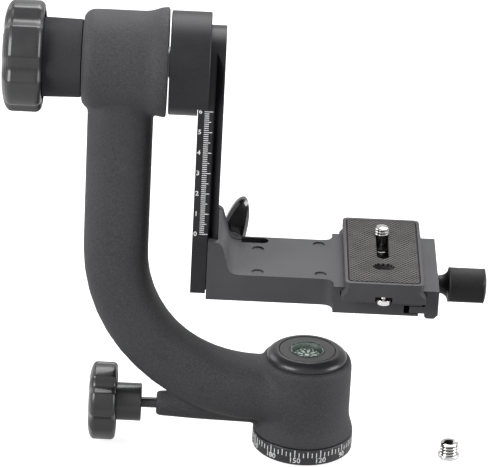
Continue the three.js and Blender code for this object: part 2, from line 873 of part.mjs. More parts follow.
function buildSwing() {
  const atTilt = (solid) => moved(solid, 0, 0, tiltAxisHeight);
  const shaftEnd = innerBearingLeft - retainerThickness - 3 * gap;
  const shaftRight = railLeft - gap - discFloor - gap;
  const screwHeights = [1, -1].map((side) => tiltAxisHeight + side * railWidth * railScrewShare / 2);
  const screwHoles = screwHeights.map((height) => moved(railScrew(gap), 0, 0, height));

  const slot = pushed('x', railOutline(gap, tiltAxisHeight - discRadius - overrun),
    railLeft - gap, discRight + overrun);
  const disc = atTilt(turned('x', [
    [0, discLeft],
    [discRadius - edgeBreak, discLeft],
    [discRadius, discLeft + edgeBreak],
    [discRadius, discRight - edgeBreak],
    [discRadius - edgeBreak, discRight],
    [0, discRight],
  ]));
  const shaftHole = atTilt(rod('x', tiltShaftRadius + gap, discLeft - overrun, shaftRight + gap));
  piece('tilt_disc', cutBy(disc, slot, shaftHole, ...screwHoles), 'anodised');

  const retainerRight = innerBearingLeft - gap;
  const retainerLeft = retainerRight - retainerThickness;
  const grooveRadius = tiltShaftRadius - retainerGroove;
  piece('tilt_shaft', atTilt(turned('x', [
    [0, shaftEnd],
    [tiltShaftRadius, shaftEnd],
    [tiltShaftRadius, retainerLeft - gap / 2],
    [grooveRadius, retainerLeft - gap / 2],
    [grooveRadius, retainerRight + gap / 2],
    [tiltShaftRadius, retainerRight + gap / 2],
    [tiltShaftRadius, shaftRight],
    [0, shaftRight],
  ])), 'steel');
  piece('shaft_retainer', atTilt(ring('x', grooveRadius + gap / 2, retainerRadius,
    retainerLeft, retainerRight)), 'steel');

  const rail = pushed('x', railOutline(0, railBottomHeight), railLeft, railFace);
  piece('dovetail_rail', cutBy(rail, railGroove(1), railGroove(-1), ...screwHoles), 'anodised');
  screwHeights.forEach((height, i) => {
    piece('rail_screw_' + (i + 1), moved(railScrew(0), 0, 0, height), 'steel');
  });
}

// Bracket: one milled body with the dovetail grip, its flexing finger and the fixed jaw
const bracketLeft = railShelf + gap;
const channelBack = railFace + gap;
const diagonalGap = gap * Math.SQRT2;
const fingerInner = platformWidth / 2 - fingerThickness;
const reliefLeft = bracketLeft + uprightTopThickness + reliefStart - diagonalGap;
const clampLeft = clampCentre - plateFootWidth / 2 - diagonalGap - clampJawLand + diagonalGap / 2;
const footTop = plateBottomHeight + plateFootChamfer + plateFootThickness;

function bracketProfile() {
  const topRight = bracketLeft + uprightTopThickness + uprightTopRound / 2;
  const rootRight = bracketLeft + uprightRootThickness;
  const shape = new THREE.Shape();
  shape.moveTo(bracketLeft, bracketBottomHeight);
  shape.lineTo(clampLeft + clampJawLand, bracketBottomHeight);
  shape.lineTo(clampLeft + clampJawLand, platformHeight);
  shape.lineTo(rootRight + uprightFilletRadius, platformHeight);
  shape.quadraticCurveTo(rootRight + edgeBreak, platformHeight, rootRight,
    platformHeight + uprightFilletRadius);
  shape.lineTo(topRight, uprightTopHeight - uprightTopRound);
  shape.quadraticCurveTo(topRight - edgeBreak, uprightTopHeight - edgeBreak,
    topRight - uprightTopRound + edgeBreak, uprightTopHeight);
  shape.lineTo(bracketLeft, uprightTopHeight);
  return shape;
}

function clampOutline() {
  const half = clampWidth / 2;
  const neck = platformWidth / 2;
  const right = clampCentre + clampBaseReach;
  const shape = new THREE.Shape();
  shape.moveTo(clampLeft - clampFilletRadius, -neck);
  shape.quadraticCurveTo(clampLeft, -neck, clampLeft, -neck - clampFilletRadius);
  shape.lineTo(clampLeft, -half);
  shape.lineTo(right, -half);
  shape.lineTo(right, half);
  shape.lineTo(clampLeft, half);
  shape.lineTo(clampLeft, neck + clampFilletRadius);
  shape.quadraticCurveTo(clampLeft, neck, clampLeft - clampFilletRadius, neck);
  return shape;
}

function dovetailChannel() {
  const slopeShift = diagonalGap + dovetailShelf;
  const wall = dovetailLand / 2 + gap;
  const tip = dovetailNeck / 2 + (bracketLeft - (railShelf + slopeShift)) + 2 * diagonalGap;
  const wallStart = bracketLeft + (wall - tip);
  const half = [
    [bracketLeft - overrun, tip - overrun],
    [wallStart, wall],
    [channelBack, wall],
  ];
  const mirror = half.map(([x, y]) => [x, -y]).reverse();
  return pushed('z', [...mirror, ...half], bracketBottomHeight - overrun, uprightTopHeight + overrun);
}

// The clamp's open side: everything above its floor and right of the fixed jaw's slope
function jawOpening() {
  const wall = clampCentre - plateFootWidth / 2 - diagonalGap;
  const top = platformHeight + overrun;
  const right = clampCentre + plateFootWidth;
  const half = clampWidth / 2 + overrun;
  return pushed('y', [
    [wall, clampFloorHeight],
    [right, clampFloorHeight],
    [right, top],
    [wall + (top - footTop), top],
    [wall, footTop],
  ], -half, half);
}

function buildBracket() {
  const bottom = bracketBottomHeight - overrun;
  const top = uprightTopHeight + overrun;
  const half = clampWidth / 2 + overrun;
  const baseRight = clampCentre + clampBaseReach;
  const slotLeft = baseRight - tongueSlotDepth;
  const slotTop = tongueHeight + tongueThickness + gap;
  const slotBottom = tongueHeight - gap;
  const reliefBack = platformWidth / 2 - reliefWall;
  const reliefFront = reliefBack - reliefWidth;
  const reliefRadius = reliefWidth / 2;

  const body = joined(
    pushed('y', bracketProfile(), -platformWidth / 2, platformWidth / 2),
    pushed('z', clampOutline(), bracketBottomHeight, platformHeight),
  );
  const relief = pushed('z', roundedRectangle(reliefLeft - reliefRadius, reliefLeft + reliefLength,
    reliefFront, reliefBack, reliefRadius - weld), bottom, top);
  const slit = block(channelBack - overrun, reliefLeft, fingerInner - fingerSlit, fingerInner,
    bottom, top);
  const squareEnd = block(reliefLeft - reliefWidth, reliefLeft, reliefFront - overrun,
    reliefBack + overrun, bottom - overrun, top + overrun);
  const dimples = dimpleNearShares.map(([along, across]) => moved(
    rod('z', dimpleRadius, platformHeight - dimpleDepth, platformHeight + overrun, smallFacets),
    mix(reliefLeft - reliefRadius, clampLeft - clampFilletRadius / 2, along),
    across * platformWidth / 2,
    0,
  ));
  const barBore = rod('y', barScrewRadius + gap, platformWidth / 2 + barWasherThickness + gap
    - barScrewLength + barScrewInKnob - gap, platformWidth / 2 + overrun, smallFacets);
  const tongueSlot = block(slotLeft, baseRight + overrun, -half, half, slotBottom, slotTop);
  const lipTrim = block(clampCentre + clampLipReach, baseRight + overrun, -half, half, bottom,
    slotTop - overrun);
  const groove = block(clampCentre - clampGrooveWidth / 2, clampCentre + clampGrooveWidth / 2,
    -half, half, clampFloorHeight - clampGrooveDepth, clampFloorHeight + overrun);
  const studBore = rod('x', clampStudRadius + gap, slotLeft - clampStudDepth - gap,
    baseRight + overrun, smallFacets);
  piece('bracket', cutBy(
    body,
    dovetailChannel(),
    slit,
    cutBy(relief, squareEnd),
    ...dimples,
    moved(barBore, bracketLeft + barAxisOffset, 0, barAxisHeight),
    jawOpening(),
    tongueSlot,
    lipTrim,
    groove,
    moved(studBore, 0, 0, clampStudHeight),
  ), 'anodisedLight');
}

function buildClamp() {
  const half = clampWidth / 2;
  const wall = clampCentre + plateFootWidth / 2 + diagonalGap;
  const outer = clampCentre + jawOuterReach;
  const inner = clampCentre + jawBodyReach;
  const bottom = platformHeight - gap - jawHeight;
  const jawTop = platformHeight - gap;
  const slotLeft = clampCentre + clampBaseReach - tongueSlotDepth;
  const boreRadius = clampStudRadius + gap;
  const jawBody = pushed('y', [
    [inner, bottom + jawChamfer / 2],
    [inner + jawChamfer / 2, bottom],
    [outer - jawChamfer, bottom],
    [outer, bottom + jawChamfer],
    [outer, jawTop],
    [wall - (jawTop - footTop), jawTop],
    [wall, footTop],
    [wall, plateBottomHeight - gap],
    [inner, plateBottomHeight - gap],
    [inner, tongueHeight + tongueThickness],
    [inner - tongueLength, tongueHeight + tongueThickness],
    [inner - tongueLength, tongueHeight],
    [inner, tongueHeight],
  ], -half, half);
  const studHole = moved(rod('x', boreRadius, slotLeft, outer + overrun, smallFacets), 0, 0,
    clampStudHeight);
  const notch = block(slotLeft, inner, -boreRadius, boreRadius, bottom, plateBottomHeight);
  piece('clamp_jaw', cutBy(jawBody, studHole, notch), 'anodisedLight');

  const atStud = (solid) => moved(solid, 0, 0, clampStudHeight);
  const washerLeft = outer + gap;
  const washerRight = washerLeft + clampWasherThickness;
  piece('clamp_washer', atStud(ring('x', boreRadius, clampWasherRadius, washerLeft, washerRight,
    smallFacets)), 'steel');

  const neckLeft = washerRight + gap;
  const barrelLeft = neckLeft + clampKnobFlare;
  const barrelRight = barrelLeft + clampKnobLength;
  const flareSteps = cornerFacets + 1;
  const flare = Array.from({ length: flareSteps }, (_, i) => {
    const t = (i + 1) / flareSteps;
    return [mix(clampKnobNeckRadius, clampKnobRadius - edgeBreak, 1 - Math.cos(t * Math.PI / 2)),
      mix(neckLeft + edgeBreak, barrelLeft - edgeBreak, Math.sin(t * Math.PI / 2))];
  });
  const boreEnd = neckLeft + clampKnobBore;
  piece('clamp_knob', atStud(turned('x', [
    [boreRadius, neckLeft],
    [clampKnobNeckRadius, neckLeft],
    [clampKnobNeckRadius, neckLeft + edgeBreak],
    ...flare,
    [clampKnobRadius, barrelLeft],
    [clampKnobRadius, barrelRight - edgeBreak],
    [clampKnobRadius - 2 * edgeBreak, barrelRight],
    [clampKnobRadius / 2, barrelRight + clampKnobDome * 3 / 4],
    [0, barrelRight + clampKnobDome],
    [0, boreEnd],
    [boreRadius, boreEnd],
  ], midFacets)), 'matte');
  piece('clamp_stud', atStud(rod('x', clampStudRadius, slotLeft - clampStudDepth, boreEnd - gap,
    smallFacets)), 'steel');
}

// Bracket lock: screw, washer and oval bar knob on an axis along Y
function ovalBar(from, to) {
  const levels = [[from, barRound], [from + barRound, 0], [to - barRound, 0], [to, barRound]];
  const lean = barLean * Math.PI / 180;
  const rings = levels.map(([y, inset]) => Array.from({ length: barFacets }, (_, i) => {
    const angle = (i / barFacets) * Math.PI * 2;
    const along = (barLength / 2 - inset) * Math.cos(angle);
    const across = (barWidth / 2 - inset) * Math.sin(angle);
    return new THREE.Vector3(
      along * Math.sin(lean) + across * Math.cos(lean),
      y,
      along * Math.cos(lean) - across * Math.sin(lean),
    );
  }));
  return lofted(rings);
}

function buildBracketLock() {
  const atBar = (solid) => moved(solid, bracketLeft + barAxisOffset, 0, barAxisHeight);
  const washerFront = platformWidth / 2 + gap;
  const washerBack = washerFront + barWasherThickness;
  const hubFront = washerBack + gap;
  const barFront = hubFront + barHubLength;
  const screwBack = hubFront + barScrewInKnob;
  const boreRadius = barScrewRadius + gap;
  piece('lock_washer', atBar(ring('y', boreRadius, barWasherRadius, washerFront, washerBack)),
    'steel');
  const knob = cutBy(
    joined(ovalBar(barFront, barFront + barThickness), rod('y', barHubRadius, hubFront, barFront
      + barRound)),
    rod('y', boreRadius, hubFront - overrun, screwBack + gap, smallFacets),
  );
  piece('lock_knob', atBar(knob), 'gloss');
  piece('lock_screw', atBar(rod('y', barScrewRadius, screwBack - barScrewLength, screwBack,
    smallFacets)), 'steel');
}

// Camera plate
function plateProfile() {
  const x = (width) => width / 2;
  const foot = plateBottomHeight + plateFootChamfer;
  const waist = footTop + (plateFootWidth - plateWaistWidth) / 2;
  const right = [
    [x(plateFootWidth) - plateFootChamfer, plateBottomHeight],
    [x(plateFootWidth), foot],
    [x(plateFootWidth), footTop],
    [x(plateWaistWidth), waist],
    [x(plateWaistWidth), plateLipHeight],
    [x(plateLipWidth), plateLipHeight],
    [x(plateLipWidth), plateTopHeight - edgeBreak],
    [x(plateLipWidth) - edgeBreak, plateTopHeight],
  ];
  const left = right.map(([across, height]) => [-across, height]).reverse();
  return [...right, ...left].map(([across, height]) => [clampCentre + across, height]);
}

function slotOutline(halfWidth, front, back) {
  return roundedRectangle(clampCentre - halfWidth, clampCentre + halfWidth, front, back,
    halfWidth - weld);
}

function buildPlate() {
  const half = plateLength / 2;
  const footHalf = plateFootWidth / 2;
  const padBottom = plateTopHeight + rubberProud - rubberThickness;
  const padHalf = plateLipWidth / 2 - padMargin;
  const padEnd = half - padEndMargin;
  const pocketTop = plateBottomHeight + headPocketDepth;
  const recessRadius = plateCornerRadius - edgeBreak;
  const stopPlaces = [-1, 1].map((side) => side * (half - stopInset));
  const stopTop = plateBottomHeight - stopProud + stopHeadHeight;

  const outline = pushed('z', roundedRectangle(clampCentre - footHalf - overrun,
    clampCentre + footHalf + overrun, -half, half, plateCornerRadius), plateBottomHeight - overrun,
  plateTopHeight + overrun);
  const padSeat = pushed('z', roundedRectangle(clampCentre - padHalf - gap, clampCentre + padHalf
    + gap, -padEnd - gap, padEnd + gap, recessRadius + gap), padBottom - gap, plateTopHeight
    + overrun);
  const slot = pushed('z', slotOutline(slotWidth / 2, slotFront, slotBack), plateBottomHeight
    - overrun, plateTopHeight + overrun);
  const pocketFront = slotFront + slotWidth / 2 - headPocketRadius;
  const pocketBack = slotBack - slotWidth / 2 + headPocketRadius;
  const pocket = pushed('z', slotOutline(headPocketRadius, pocketFront, pocketBack),
    plateBottomHeight - overrun, pocketTop);
  const oval = (from, to) => pushed('z', roundedRectangle(clampCentre - ovalLength / 2,
    clampCentre + ovalLength / 2, ovalPlace - ovalWidth / 2, ovalPlace + ovalWidth / 2,
    ovalWidth / 2 - weld), from, to);
  const notches = stopPlaces.map((y) => moved(joined(
    rod('z', stopHeadRadius + stopNotchRoom, plateBottomHeight - overrun, stopTop + gap, smallFacets),
    rod('z', stopShankRadius + gap, stopTop, stopTop + stopShankLength + gap, smallFacets),
  ), clampCentre, y, 0));
  piece('plate', cutBy(
    pushed('y', plateProfile(), -half - overrun, half + overrun).intersect(outline),
    padSeat,
    slot,
    pocket,
    oval(plateTopHeight - ovalDepth, plateTopHeight + overrun),
    ...notches,
  ), 'anodised');

  const rubber = pushed('z', roundedRectangle(clampCentre - padHalf, clampCentre + padHalf, -padEnd,
    padEnd, recessRadius), padBottom, padBottom + rubberThickness);
  piece('plate_pad', cutBy(rubber, slot, oval(padBottom - overrun, plateTopHeight + overrun)),
    'rubber');

  stopPlaces.forEach((y, i) => {
    const screw = joined(
      rod('z', stopHeadRadius, stopTop - stopHeadHeight, stopTop, smallFacets),
      rod('z', stopShankRadius, stopTop - overrun, stopTop + stopShankLength, smallFacets),
    );
    piece('stop_screw_' + (i + 1), moved(screw, clampCentre, y, 0), 'steel');
  });

  const washerTop = pocketTop - gap;
  const washerBottom = washerTop - screwWasherThickness;
  const headTop = washerBottom - gap;
  const headBottom = headTop - cameraHeadThickness;
  const threadBottom = plateTopHeight + gap;
  piece('camera_screw_washer', moved(ring('z', cameraNeckRadius + gap, cameraHeadRadius - gap,
    washerBottom, washerTop, smallFacets), clampCentre, cameraScrewPlace, 0), 'matte');
  piece('camera_screw', moved(turned('z', [
    [0, headBottom],
    [cameraHeadRadius - edgeBreak, headBottom],
    [cameraHeadRadius, headBottom + edgeBreak],
    [cameraHeadRadius, headTop],
    [cameraNeckRadius, headTop],
    [cameraNeckRadius, threadBottom],
    [cameraScrewRadius, threadBottom],
    [cameraScrewRadius, plateTopHeight + cameraScrewProud - edgeBreak],
    [cameraScrewRadius - edgeBreak, plateTopHeight + cameraScrewProud],
    [0, plateTopHeight + cameraScrewProud],
  ], smallFacets), clampCentre, cameraScrewPlace, 0), 'steel');
}

// Cap and compass
function buildCap() {
  const bottom = housingTop + gap;
  const top = bottom + capHeight;
  const spigotBottom = bottom - capSpigotLength;
  const slope = capShoulderShares.map(([inward, up]) => [
    mix(capRadius, capTopRadius, inward),
    mix(bottom + capRim, top, up),
  ]);
  const seat = top - insertSink - insertThickness - gap;
  const bowlHole = bowlRadius + gap;
  piece('cap', turned('z', [
    [bowlHole, spigotBottom],
    [panBearingRadius, spigotBottom],
    [panBearingRadius, bottom],
    [capRadius, bottom],
    [capRadius, bottom + capRim],
    ...slope,
    [insertRadius + gap, top],
    [insertRadius + gap, seat],
    [bowlHole, seat],
  ]), 'gloss');
  piece('cap_insert', ring('z', bowlHole, insertRadius, seat + gap, top - insertSink, wideFacets),
    'matte');

  const bowlTop = top - insertSink - gap;
  const bowlBottom = bowlTop - bowlDepth;
  const cardBottom = bowlTop - cardDrop;
  const pivotTop = cardBottom - gap;
  piece('compass_bowl', turned('z', [
    [0, bowlBottom],
    [bowlRadius, bowlBottom],
    [bowlRadius, bowlTop],
    [bowlRadius - bowlWall, bowlTop],
    [bowlRadius - bowlWall, bowlBottom + bowlFloor],
    [pivotRadius, bowlBottom + bowlFloor],
    [pivotTipRadius, pivotTop],
    [0, pivotTop],
  ], midFacets), 'matte');
  piece('compass_card', rod('z', cardRadius, cardBottom, cardBottom + cardThickness), 'card');
  const domeBottom = bowlTop + gap;
  const domeSteps = cornerFacets;
  const rise = Array.from({ length: domeSteps + 1 }, (_, i) => {
    const angle = (i / domeSteps) * Math.PI / 2;
    return [domeRadius * Math.cos(angle), domeBottom + edgeBreak + domeHeight * Math.sin(angle)];
  });
  rise[domeSteps][0] = 0;
  piece('compass_dome', turned('z', [
    [0, domeBottom],
    [domeRadius, domeBottom],
    ...rise,
  ], midFacets), 'clear');
}

// Thread adapter
function buildAdapter() {
  const body = turned('z', [
    [adapterBoreRadius, 0],
    [adapterFlangeRadius, 0],
    [adapterFlangeRadius, adapterFlangeThickness],
    [adapterRadius, adapterFlangeThickness],
    [adapterRadius, adapterHeight],
    [adapterBoreRadius, adapterHeight],
  ], midFacets);
  const reach = adapterFlangeRadius + overrun;
  const slot = block(-reach, reach, -adapterSlotWidth / 2, adapterSlotWidth / 2,
    adapterHeight - adapterSlotDepth, adapterHeight + overrun).rotate([0, 0, adapterSlotTurn]);
  piece('thread_adapter', moved(cutBy(body, slot), adapterPlaceX, adapterPlaceY, 0), 'steel');
}

buildBase();
buildPanBearings();
buildArm();
buildPanLock();
buildTiltLock();
buildSwing();
buildBracket();
buildClamp();
buildBracketLock();
buildPlate();
buildCap();
buildAdapter();

export default head;
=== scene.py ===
# %% [markdown]
# # A cantilever head for a long lens
# The real object is a tripod head: a cast arm curves up beside the camera, a rail hangs from a
# disc at its top, and a bracket on the rail carries a quick-release plate. Every piece was first
# built as a solid. This lesson loads those solids and gives each one the edges, scales, threads
# and finishes that the real one shows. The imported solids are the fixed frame, so each piece made
# here takes its place from the box of the solid that it belongs to.

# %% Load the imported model
import json
import math

import bmesh
import bpy
from mathutils import Matrix, Vector


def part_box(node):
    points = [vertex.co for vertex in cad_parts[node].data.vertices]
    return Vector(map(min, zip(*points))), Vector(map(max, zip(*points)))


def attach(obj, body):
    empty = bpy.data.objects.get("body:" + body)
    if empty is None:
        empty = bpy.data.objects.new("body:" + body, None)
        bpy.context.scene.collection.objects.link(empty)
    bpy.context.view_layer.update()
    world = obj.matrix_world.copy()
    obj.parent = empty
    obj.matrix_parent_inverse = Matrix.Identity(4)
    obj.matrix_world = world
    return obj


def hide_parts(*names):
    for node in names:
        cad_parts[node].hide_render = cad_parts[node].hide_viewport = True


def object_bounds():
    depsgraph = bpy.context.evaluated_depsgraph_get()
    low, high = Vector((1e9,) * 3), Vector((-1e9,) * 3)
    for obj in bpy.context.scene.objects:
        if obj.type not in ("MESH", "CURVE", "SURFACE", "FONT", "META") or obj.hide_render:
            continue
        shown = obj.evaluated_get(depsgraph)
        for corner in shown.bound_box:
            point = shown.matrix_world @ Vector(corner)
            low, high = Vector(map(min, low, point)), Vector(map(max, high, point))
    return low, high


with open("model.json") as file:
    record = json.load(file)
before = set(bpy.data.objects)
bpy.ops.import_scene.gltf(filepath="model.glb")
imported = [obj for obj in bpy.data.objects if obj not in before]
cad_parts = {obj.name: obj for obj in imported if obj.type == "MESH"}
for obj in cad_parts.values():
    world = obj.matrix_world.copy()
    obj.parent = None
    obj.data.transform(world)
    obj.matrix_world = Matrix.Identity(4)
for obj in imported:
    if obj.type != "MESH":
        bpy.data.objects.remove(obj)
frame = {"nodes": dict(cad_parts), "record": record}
CAD_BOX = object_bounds()
MM = 0.001
print("box in mm:", [round((b - a) / MM, 1) for a, b in zip(*CAD_BOX)])

# %% [markdown]
# ## The camera
# A product photograph is taken from far away with a long lens, which keeps parallel edges almost
# parallel. The distance, height and lens were worked out from the circles of the base, the arm
# and the engraved height scale. The picture leans by three degrees. A camera that rolls gives
# the same picture as an object that leans, and leaves the object upright, so the roll is here.

# %% Aim the camera
def add_object(name, data):
    """Something new in the scene: a lens, a mesh, a text or a lamp."""
    made = bpy.data.objects.new(name, data)
    bpy.context.scene.collection.objects.link(made)
    return made


ELEVATION = math.radians(24.86)
AZIMUTH = math.radians(0.73)
ROLL = math.radians(2.96)
DISTANCE = 1611.66 * MM
AIM = Vector((-32.13, 0, 106.37)) * MM
LENS = 260.24
SENSOR = 36

back = Vector((
    -math.sin(AZIMUTH) * math.cos(ELEVATION),
    -math.cos(AZIMUTH) * math.cos(ELEVATION),
    math.sin(ELEVATION),
))
right = (-back).cross(Vector((0, 0, 1))).normalized()
up = right.cross(-back)
camera_x = right * math.cos(ROLL) + up * math.sin(ROLL)
camera_y = up * math.cos(ROLL) - right * math.sin(ROLL)
lens = bpy.data.cameras.new("camera")
lens.lens = LENS
lens.sensor_width = SENSOR
lens.clip_start = DISTANCE / 100
lens.clip_end = DISTANCE * 100
camera = add_object("camera", lens)
camera.matrix_world = (
    Matrix.Translation(AIM + back * DISTANCE)
    @ Matrix((camera_x, camera_y, back)).transposed().to_4x4()
)
bpy.context.scene.camera = camera
print("camera at", [round(c, 3) for c in camera.location])

# %% [markdown]
# ## Writing shaders as sums
# Wiring a material node by node is slow to read. Here a wire stands for one output of a node,
# and Python's own operators make the Math nodes, so a mask can be written as a short sum. Any
# other node comes from one method that takes its type, its settings and what feeds its inputs.

# %% A wire between nodes
class Wire:
    """One output of a shader node, with Python's operators as Math nodes."""

    def __init__(self, finish, socket):
        self.finish = finish
        self.socket = socket

    def math(self, operation, first, second=0.0):
        return self.finish.node("ShaderNodeMath", {"operation": operation}, {0: first, 1: second})

    def __add__(self, other):
        return self.math("ADD", self, other)

    def __radd__(self, other):
        return self.math("ADD", other, self)

    def __sub__(self, other):
        return self.math("SUBTRACT", self, other)

    def __rsub__(self, other):
        return self.math("SUBTRACT", other, self)

    def __mul__(self, other):
        return self.math("MULTIPLY", self, other)

    def __truediv__(self, other):
        return self.math("DIVIDE", self, other)

    def __lt__(self, other):
        return self.math("LESS_THAN", self, other)

    def __gt__(self, other):
        return self.math("GREATER_THAN", self, other)

    def __abs__(self):
        return self.math("ABSOLUTE", self)

    def wave(self, turns):
        """Cosine of so many turns of this value."""
        return self.math("COSINE", self * (turns * 2 * math.pi))

    def larger(self, other):
        return self.math("MAXIMUM", self, other)

# %% A finish while it is being wired
class Finish:
    """One material, or the world."""

    def __init__(self, name, world=None):
        self.material = world or bpy.data.materials.new(name)
        self.material.use_nodes = True
        self.tree = self.material.node_tree
        self.tree.nodes.clear()
        self.output = self.tree.nodes.new("ShaderNodeOutput" + ("World" if world else "Material"))

    def node(self, kind, settings=None, inputs=None, output=0):
        made = self.tree.nodes.new(kind)
        for key, value in (settings or {}).items():
            if key == "stops":
                ramp = made.color_ramp
                while len(ramp.elements) < len(value):
                    ramp.elements.new(0.5)
                for element, (place, colour) in zip(ramp.elements, value):
                    element.position = place
                    element.color = (*colour[:3], 1)
            else:
                setattr(made, key, value)
        for key, value in (inputs or {}).items():
            if isinstance(value, Wire):
                self.tree.links.new(value.socket, made.inputs[key])
            else:
                made.inputs[key].default_value = value
        return Wire(self, made.outputs[output])

    def place(self):
        """Object coordinates, which are the frame's own metres."""
        return self.node("ShaderNodeTexCoord", output="Object")

    def xyz(self, vector):
        return [
            self.node("ShaderNodeSeparateXYZ", inputs={0: vector}, output=i) for i in range(3)
        ]

    def noise(self, size, detail=2.0, vector=None):
        """Clouds whose blotches are about this size in metres."""
        return self.node(
            "ShaderNodeTexNoise",
            inputs={"Vector": vector or self.place(), "Scale": 1 / size, "Detail": detail},
        )

    def ramp(self, value, *stops):
        return self.node("ShaderNodeValToRGB", {"stops": stops}, {0: value})

    def blend(self, factor, first, second):
        return self.node(
            "ShaderNodeMix",
            {"data_type": "RGBA"},
            {0: factor, 6: first, 7: second},
            output=2,
        )

    def bump(self, height, strength, distance):
        return self.node(
            "ShaderNodeBump",
            inputs={"Height": height, "Strength": strength, "Distance": distance},
        )

    def ray(self, kind):
        """One for rays of a kind, such as Camera or Glossy, and zero for others."""
        return self.node("ShaderNodeLightPath", output="Is " + kind + " Ray")

    def surface(self, kind="ShaderNodeBsdfPrincipled", **sockets):
        """The closing shader: names are the sockets' own, with _ for a space."""
        inputs = {key.replace("_", " "): value for key, value in sockets.items()}
        shader = self.node(kind, inputs=inputs)
        self.tree.links.new(shader.socket, self.output.inputs["Surface"])
        return self.material

# %% Colours as a screen shows them
def seen(red, green, blue):
    """A colour as a screen shows it, 0 to 255, as the linear colour that a shader wants."""
    def linear(level):
        share = level / 255
        return share / 12.92 if share <= 0.04045 else ((share + 0.055) / 1.055) ** 2.4

    return (linear(red), linear(green), linear(blue), 1.0)


print("middle grey 128 is", round(seen(128, 128, 128)[0], 3), "in linear light")

# %% [markdown]
# ## Powder coat
# The cast arm is sprayed with powder that melts into a fine sandy skin. It is almost matt, with
# grains about half a millimetre across and a faint cloudiness. A fine noise drives the bump, and
# together with a wide one it goes into the colour, because the tops of the grains catch more
# light than the pits. A few specks of dust lie on it, as on any dark matt surface.

# %% Powder coat
GRAIN = 0.55 * MM
BLOTCH = 18 * MM
DUST_SPACING = 16 * MM
DUST_SIZE = 0.3 * MM


def dust(finish):
    """Sparse specks: the middles of the cells of a Voronoi pattern."""
    near = finish.node(
        "ShaderNodeTexVoronoi",
        {"feature": "F1"},
        {"Vector": finish.place(), "Scale": 1 / DUST_SPACING},
        output="Distance",
    )
    return near < DUST_SIZE / DUST_SPACING


def powder_coat():
    finish = Finish("powder_coat")
    grain = finish.noise(GRAIN, 3.0)
    cloud = finish.noise(BLOTCH, 2.0)
    tone = finish.ramp(
        grain * 0.85 + cloud * 0.15, (0.3, seen(42, 42, 44)), (0.7, seen(72, 72, 74))
    )
    return finish.surface(
        Base_Color=finish.blend(dust(finish), tone, seen(150, 150, 150)),
        Roughness=0.62 + grain * 0.16,
        Specular_IOR_Level=0.35,
        Normal=finish.bump(grain, 0.8, 0.2 * MM),
    )


POWDER = powder_coat()
print("powder coat:", len(POWDER.node_tree.nodes), "nodes")

# %% [markdown]
# ## Anodised and blasted metal
# The milled pieces are black anodised. The disc and the rail keep the fine lines of the cutter,
# the bracket and the clamp were blasted first, so they look greyer and softer. Both are wired by
# one function: a base tone, a fine grain that is stretched along one axis for cutter lines, and
# a roughness that wanders a little, as handled metal does.

# %% Anodised metal
def anodised(name, dark, light, rough, grain_size, stretch, bite, metallic=0.0, specular=0.5):
    finish = Finish(name)
    stretched = finish.node(
        "ShaderNodeMapping", inputs={"Vector": finish.place(), "Scale": stretch}
    )
    grain = finish.noise(grain_size, 3.0, stretched)
    cloud = finish.noise(25 * MM, 2.0)
    tone = finish.ramp(
        grain * 0.5 + cloud * 0.5,
        (0.32, seen(dark, dark, dark + 2)),
        (0.68, seen(light, light, light + 3)),
    )
    return finish.surface(
        Base_Color=tone,
        Roughness=rough - 0.06 + cloud * 0.12,
        Metallic=metallic,
        Specular_IOR_Level=specular,
        Normal=finish.bump(grain, bite, 0.04 * MM),
    )


ALL_WAYS = (1, 1, 1)
SATIN = anodised("satin_black", 34, 46, 0.42, 0.3 * MM, (0.1, 1, 1), 0.15, specular=0.2)
RAIL = anodised("rail_black", 32, 42, 0.36, 0.3 * MM, (1, 1, 0.08), 0.15, specular=0.22)
BLASTED = anodised("blasted_grey", 58, 76, 0.5, 0.35 * MM, ALL_WAYS, 0.25, specular=0.28)
MATTE = anodised("matte_black", 11, 20, 0.45, 0.3 * MM, ALL_WAYS, 0.25, specular=0.3)
SLEEVE = anodised("sleeve_black", 52, 68, 0.85, 0.5 * MM, ALL_WAYS, 0.5, specular=0.1)
RING = anodised("ring_black", 34, 46, 0.4, 0.25 * MM, (1, 1, 0.2), 0.12)
CAP = anodised("cap_black", 34, 46, 0.3, 0.3 * MM, ALL_WAYS, 0.08)
BLACKENED = anodised("blackened_steel", 26, 40, 0.35, 0.4 * MM, ALL_WAYS, 0.2, specular=0.6)
print("anodised finishes:", len([m for m in bpy.data.materials if "black" in m.name]))

# %% [markdown]
# ## Moulded knobs
# The two lobed knobs are moulded plastic with a polished skin. What makes moulded plastic look
# real is that its gloss isn't perfect: the skin has a faint orange-peel wave, and handling leaves
# it duller in patches. Both are low and wide noises, one in the bump and one in the roughness.

# %% Moulded plastic
def moulded(name, level, rough, coat):
    finish = Finish(name)
    peel = finish.noise(2.2 * MM, 1.0)
    handled = finish.noise(9 * MM, 3.0)
    tone = finish.ramp(
        handled,
        (0.35, seen(level, level, level + 2)),
        (0.7, seen(level + 8, level + 8, level + 10)),
    )
    return finish.surface(
        Base_Color=tone,
        Roughness=rough + handled * 0.14,
        Coat_Weight=coat,
        Coat_Roughness=0.12,
        Normal=finish.bump(peel, 0.12, 0.1 * MM),
    )


KNOB = moulded("moulded_black", 26, 0.3, 0.3)
BAR = moulded("polished_black", 24, 0.12, 1.0)
print("moulded finishes:", KNOB.name, "and", BAR.name)

# %% [markdown]
# ## Bright metal
# Turned steel has fine marks of the tool, and plated steel is a mirror that shows the white room
# around it. Both are metallic, and one fine noise varies tone and roughness a little. Rings
# would need the axis of each piece, and on pieces this small nobody could tell them apart.

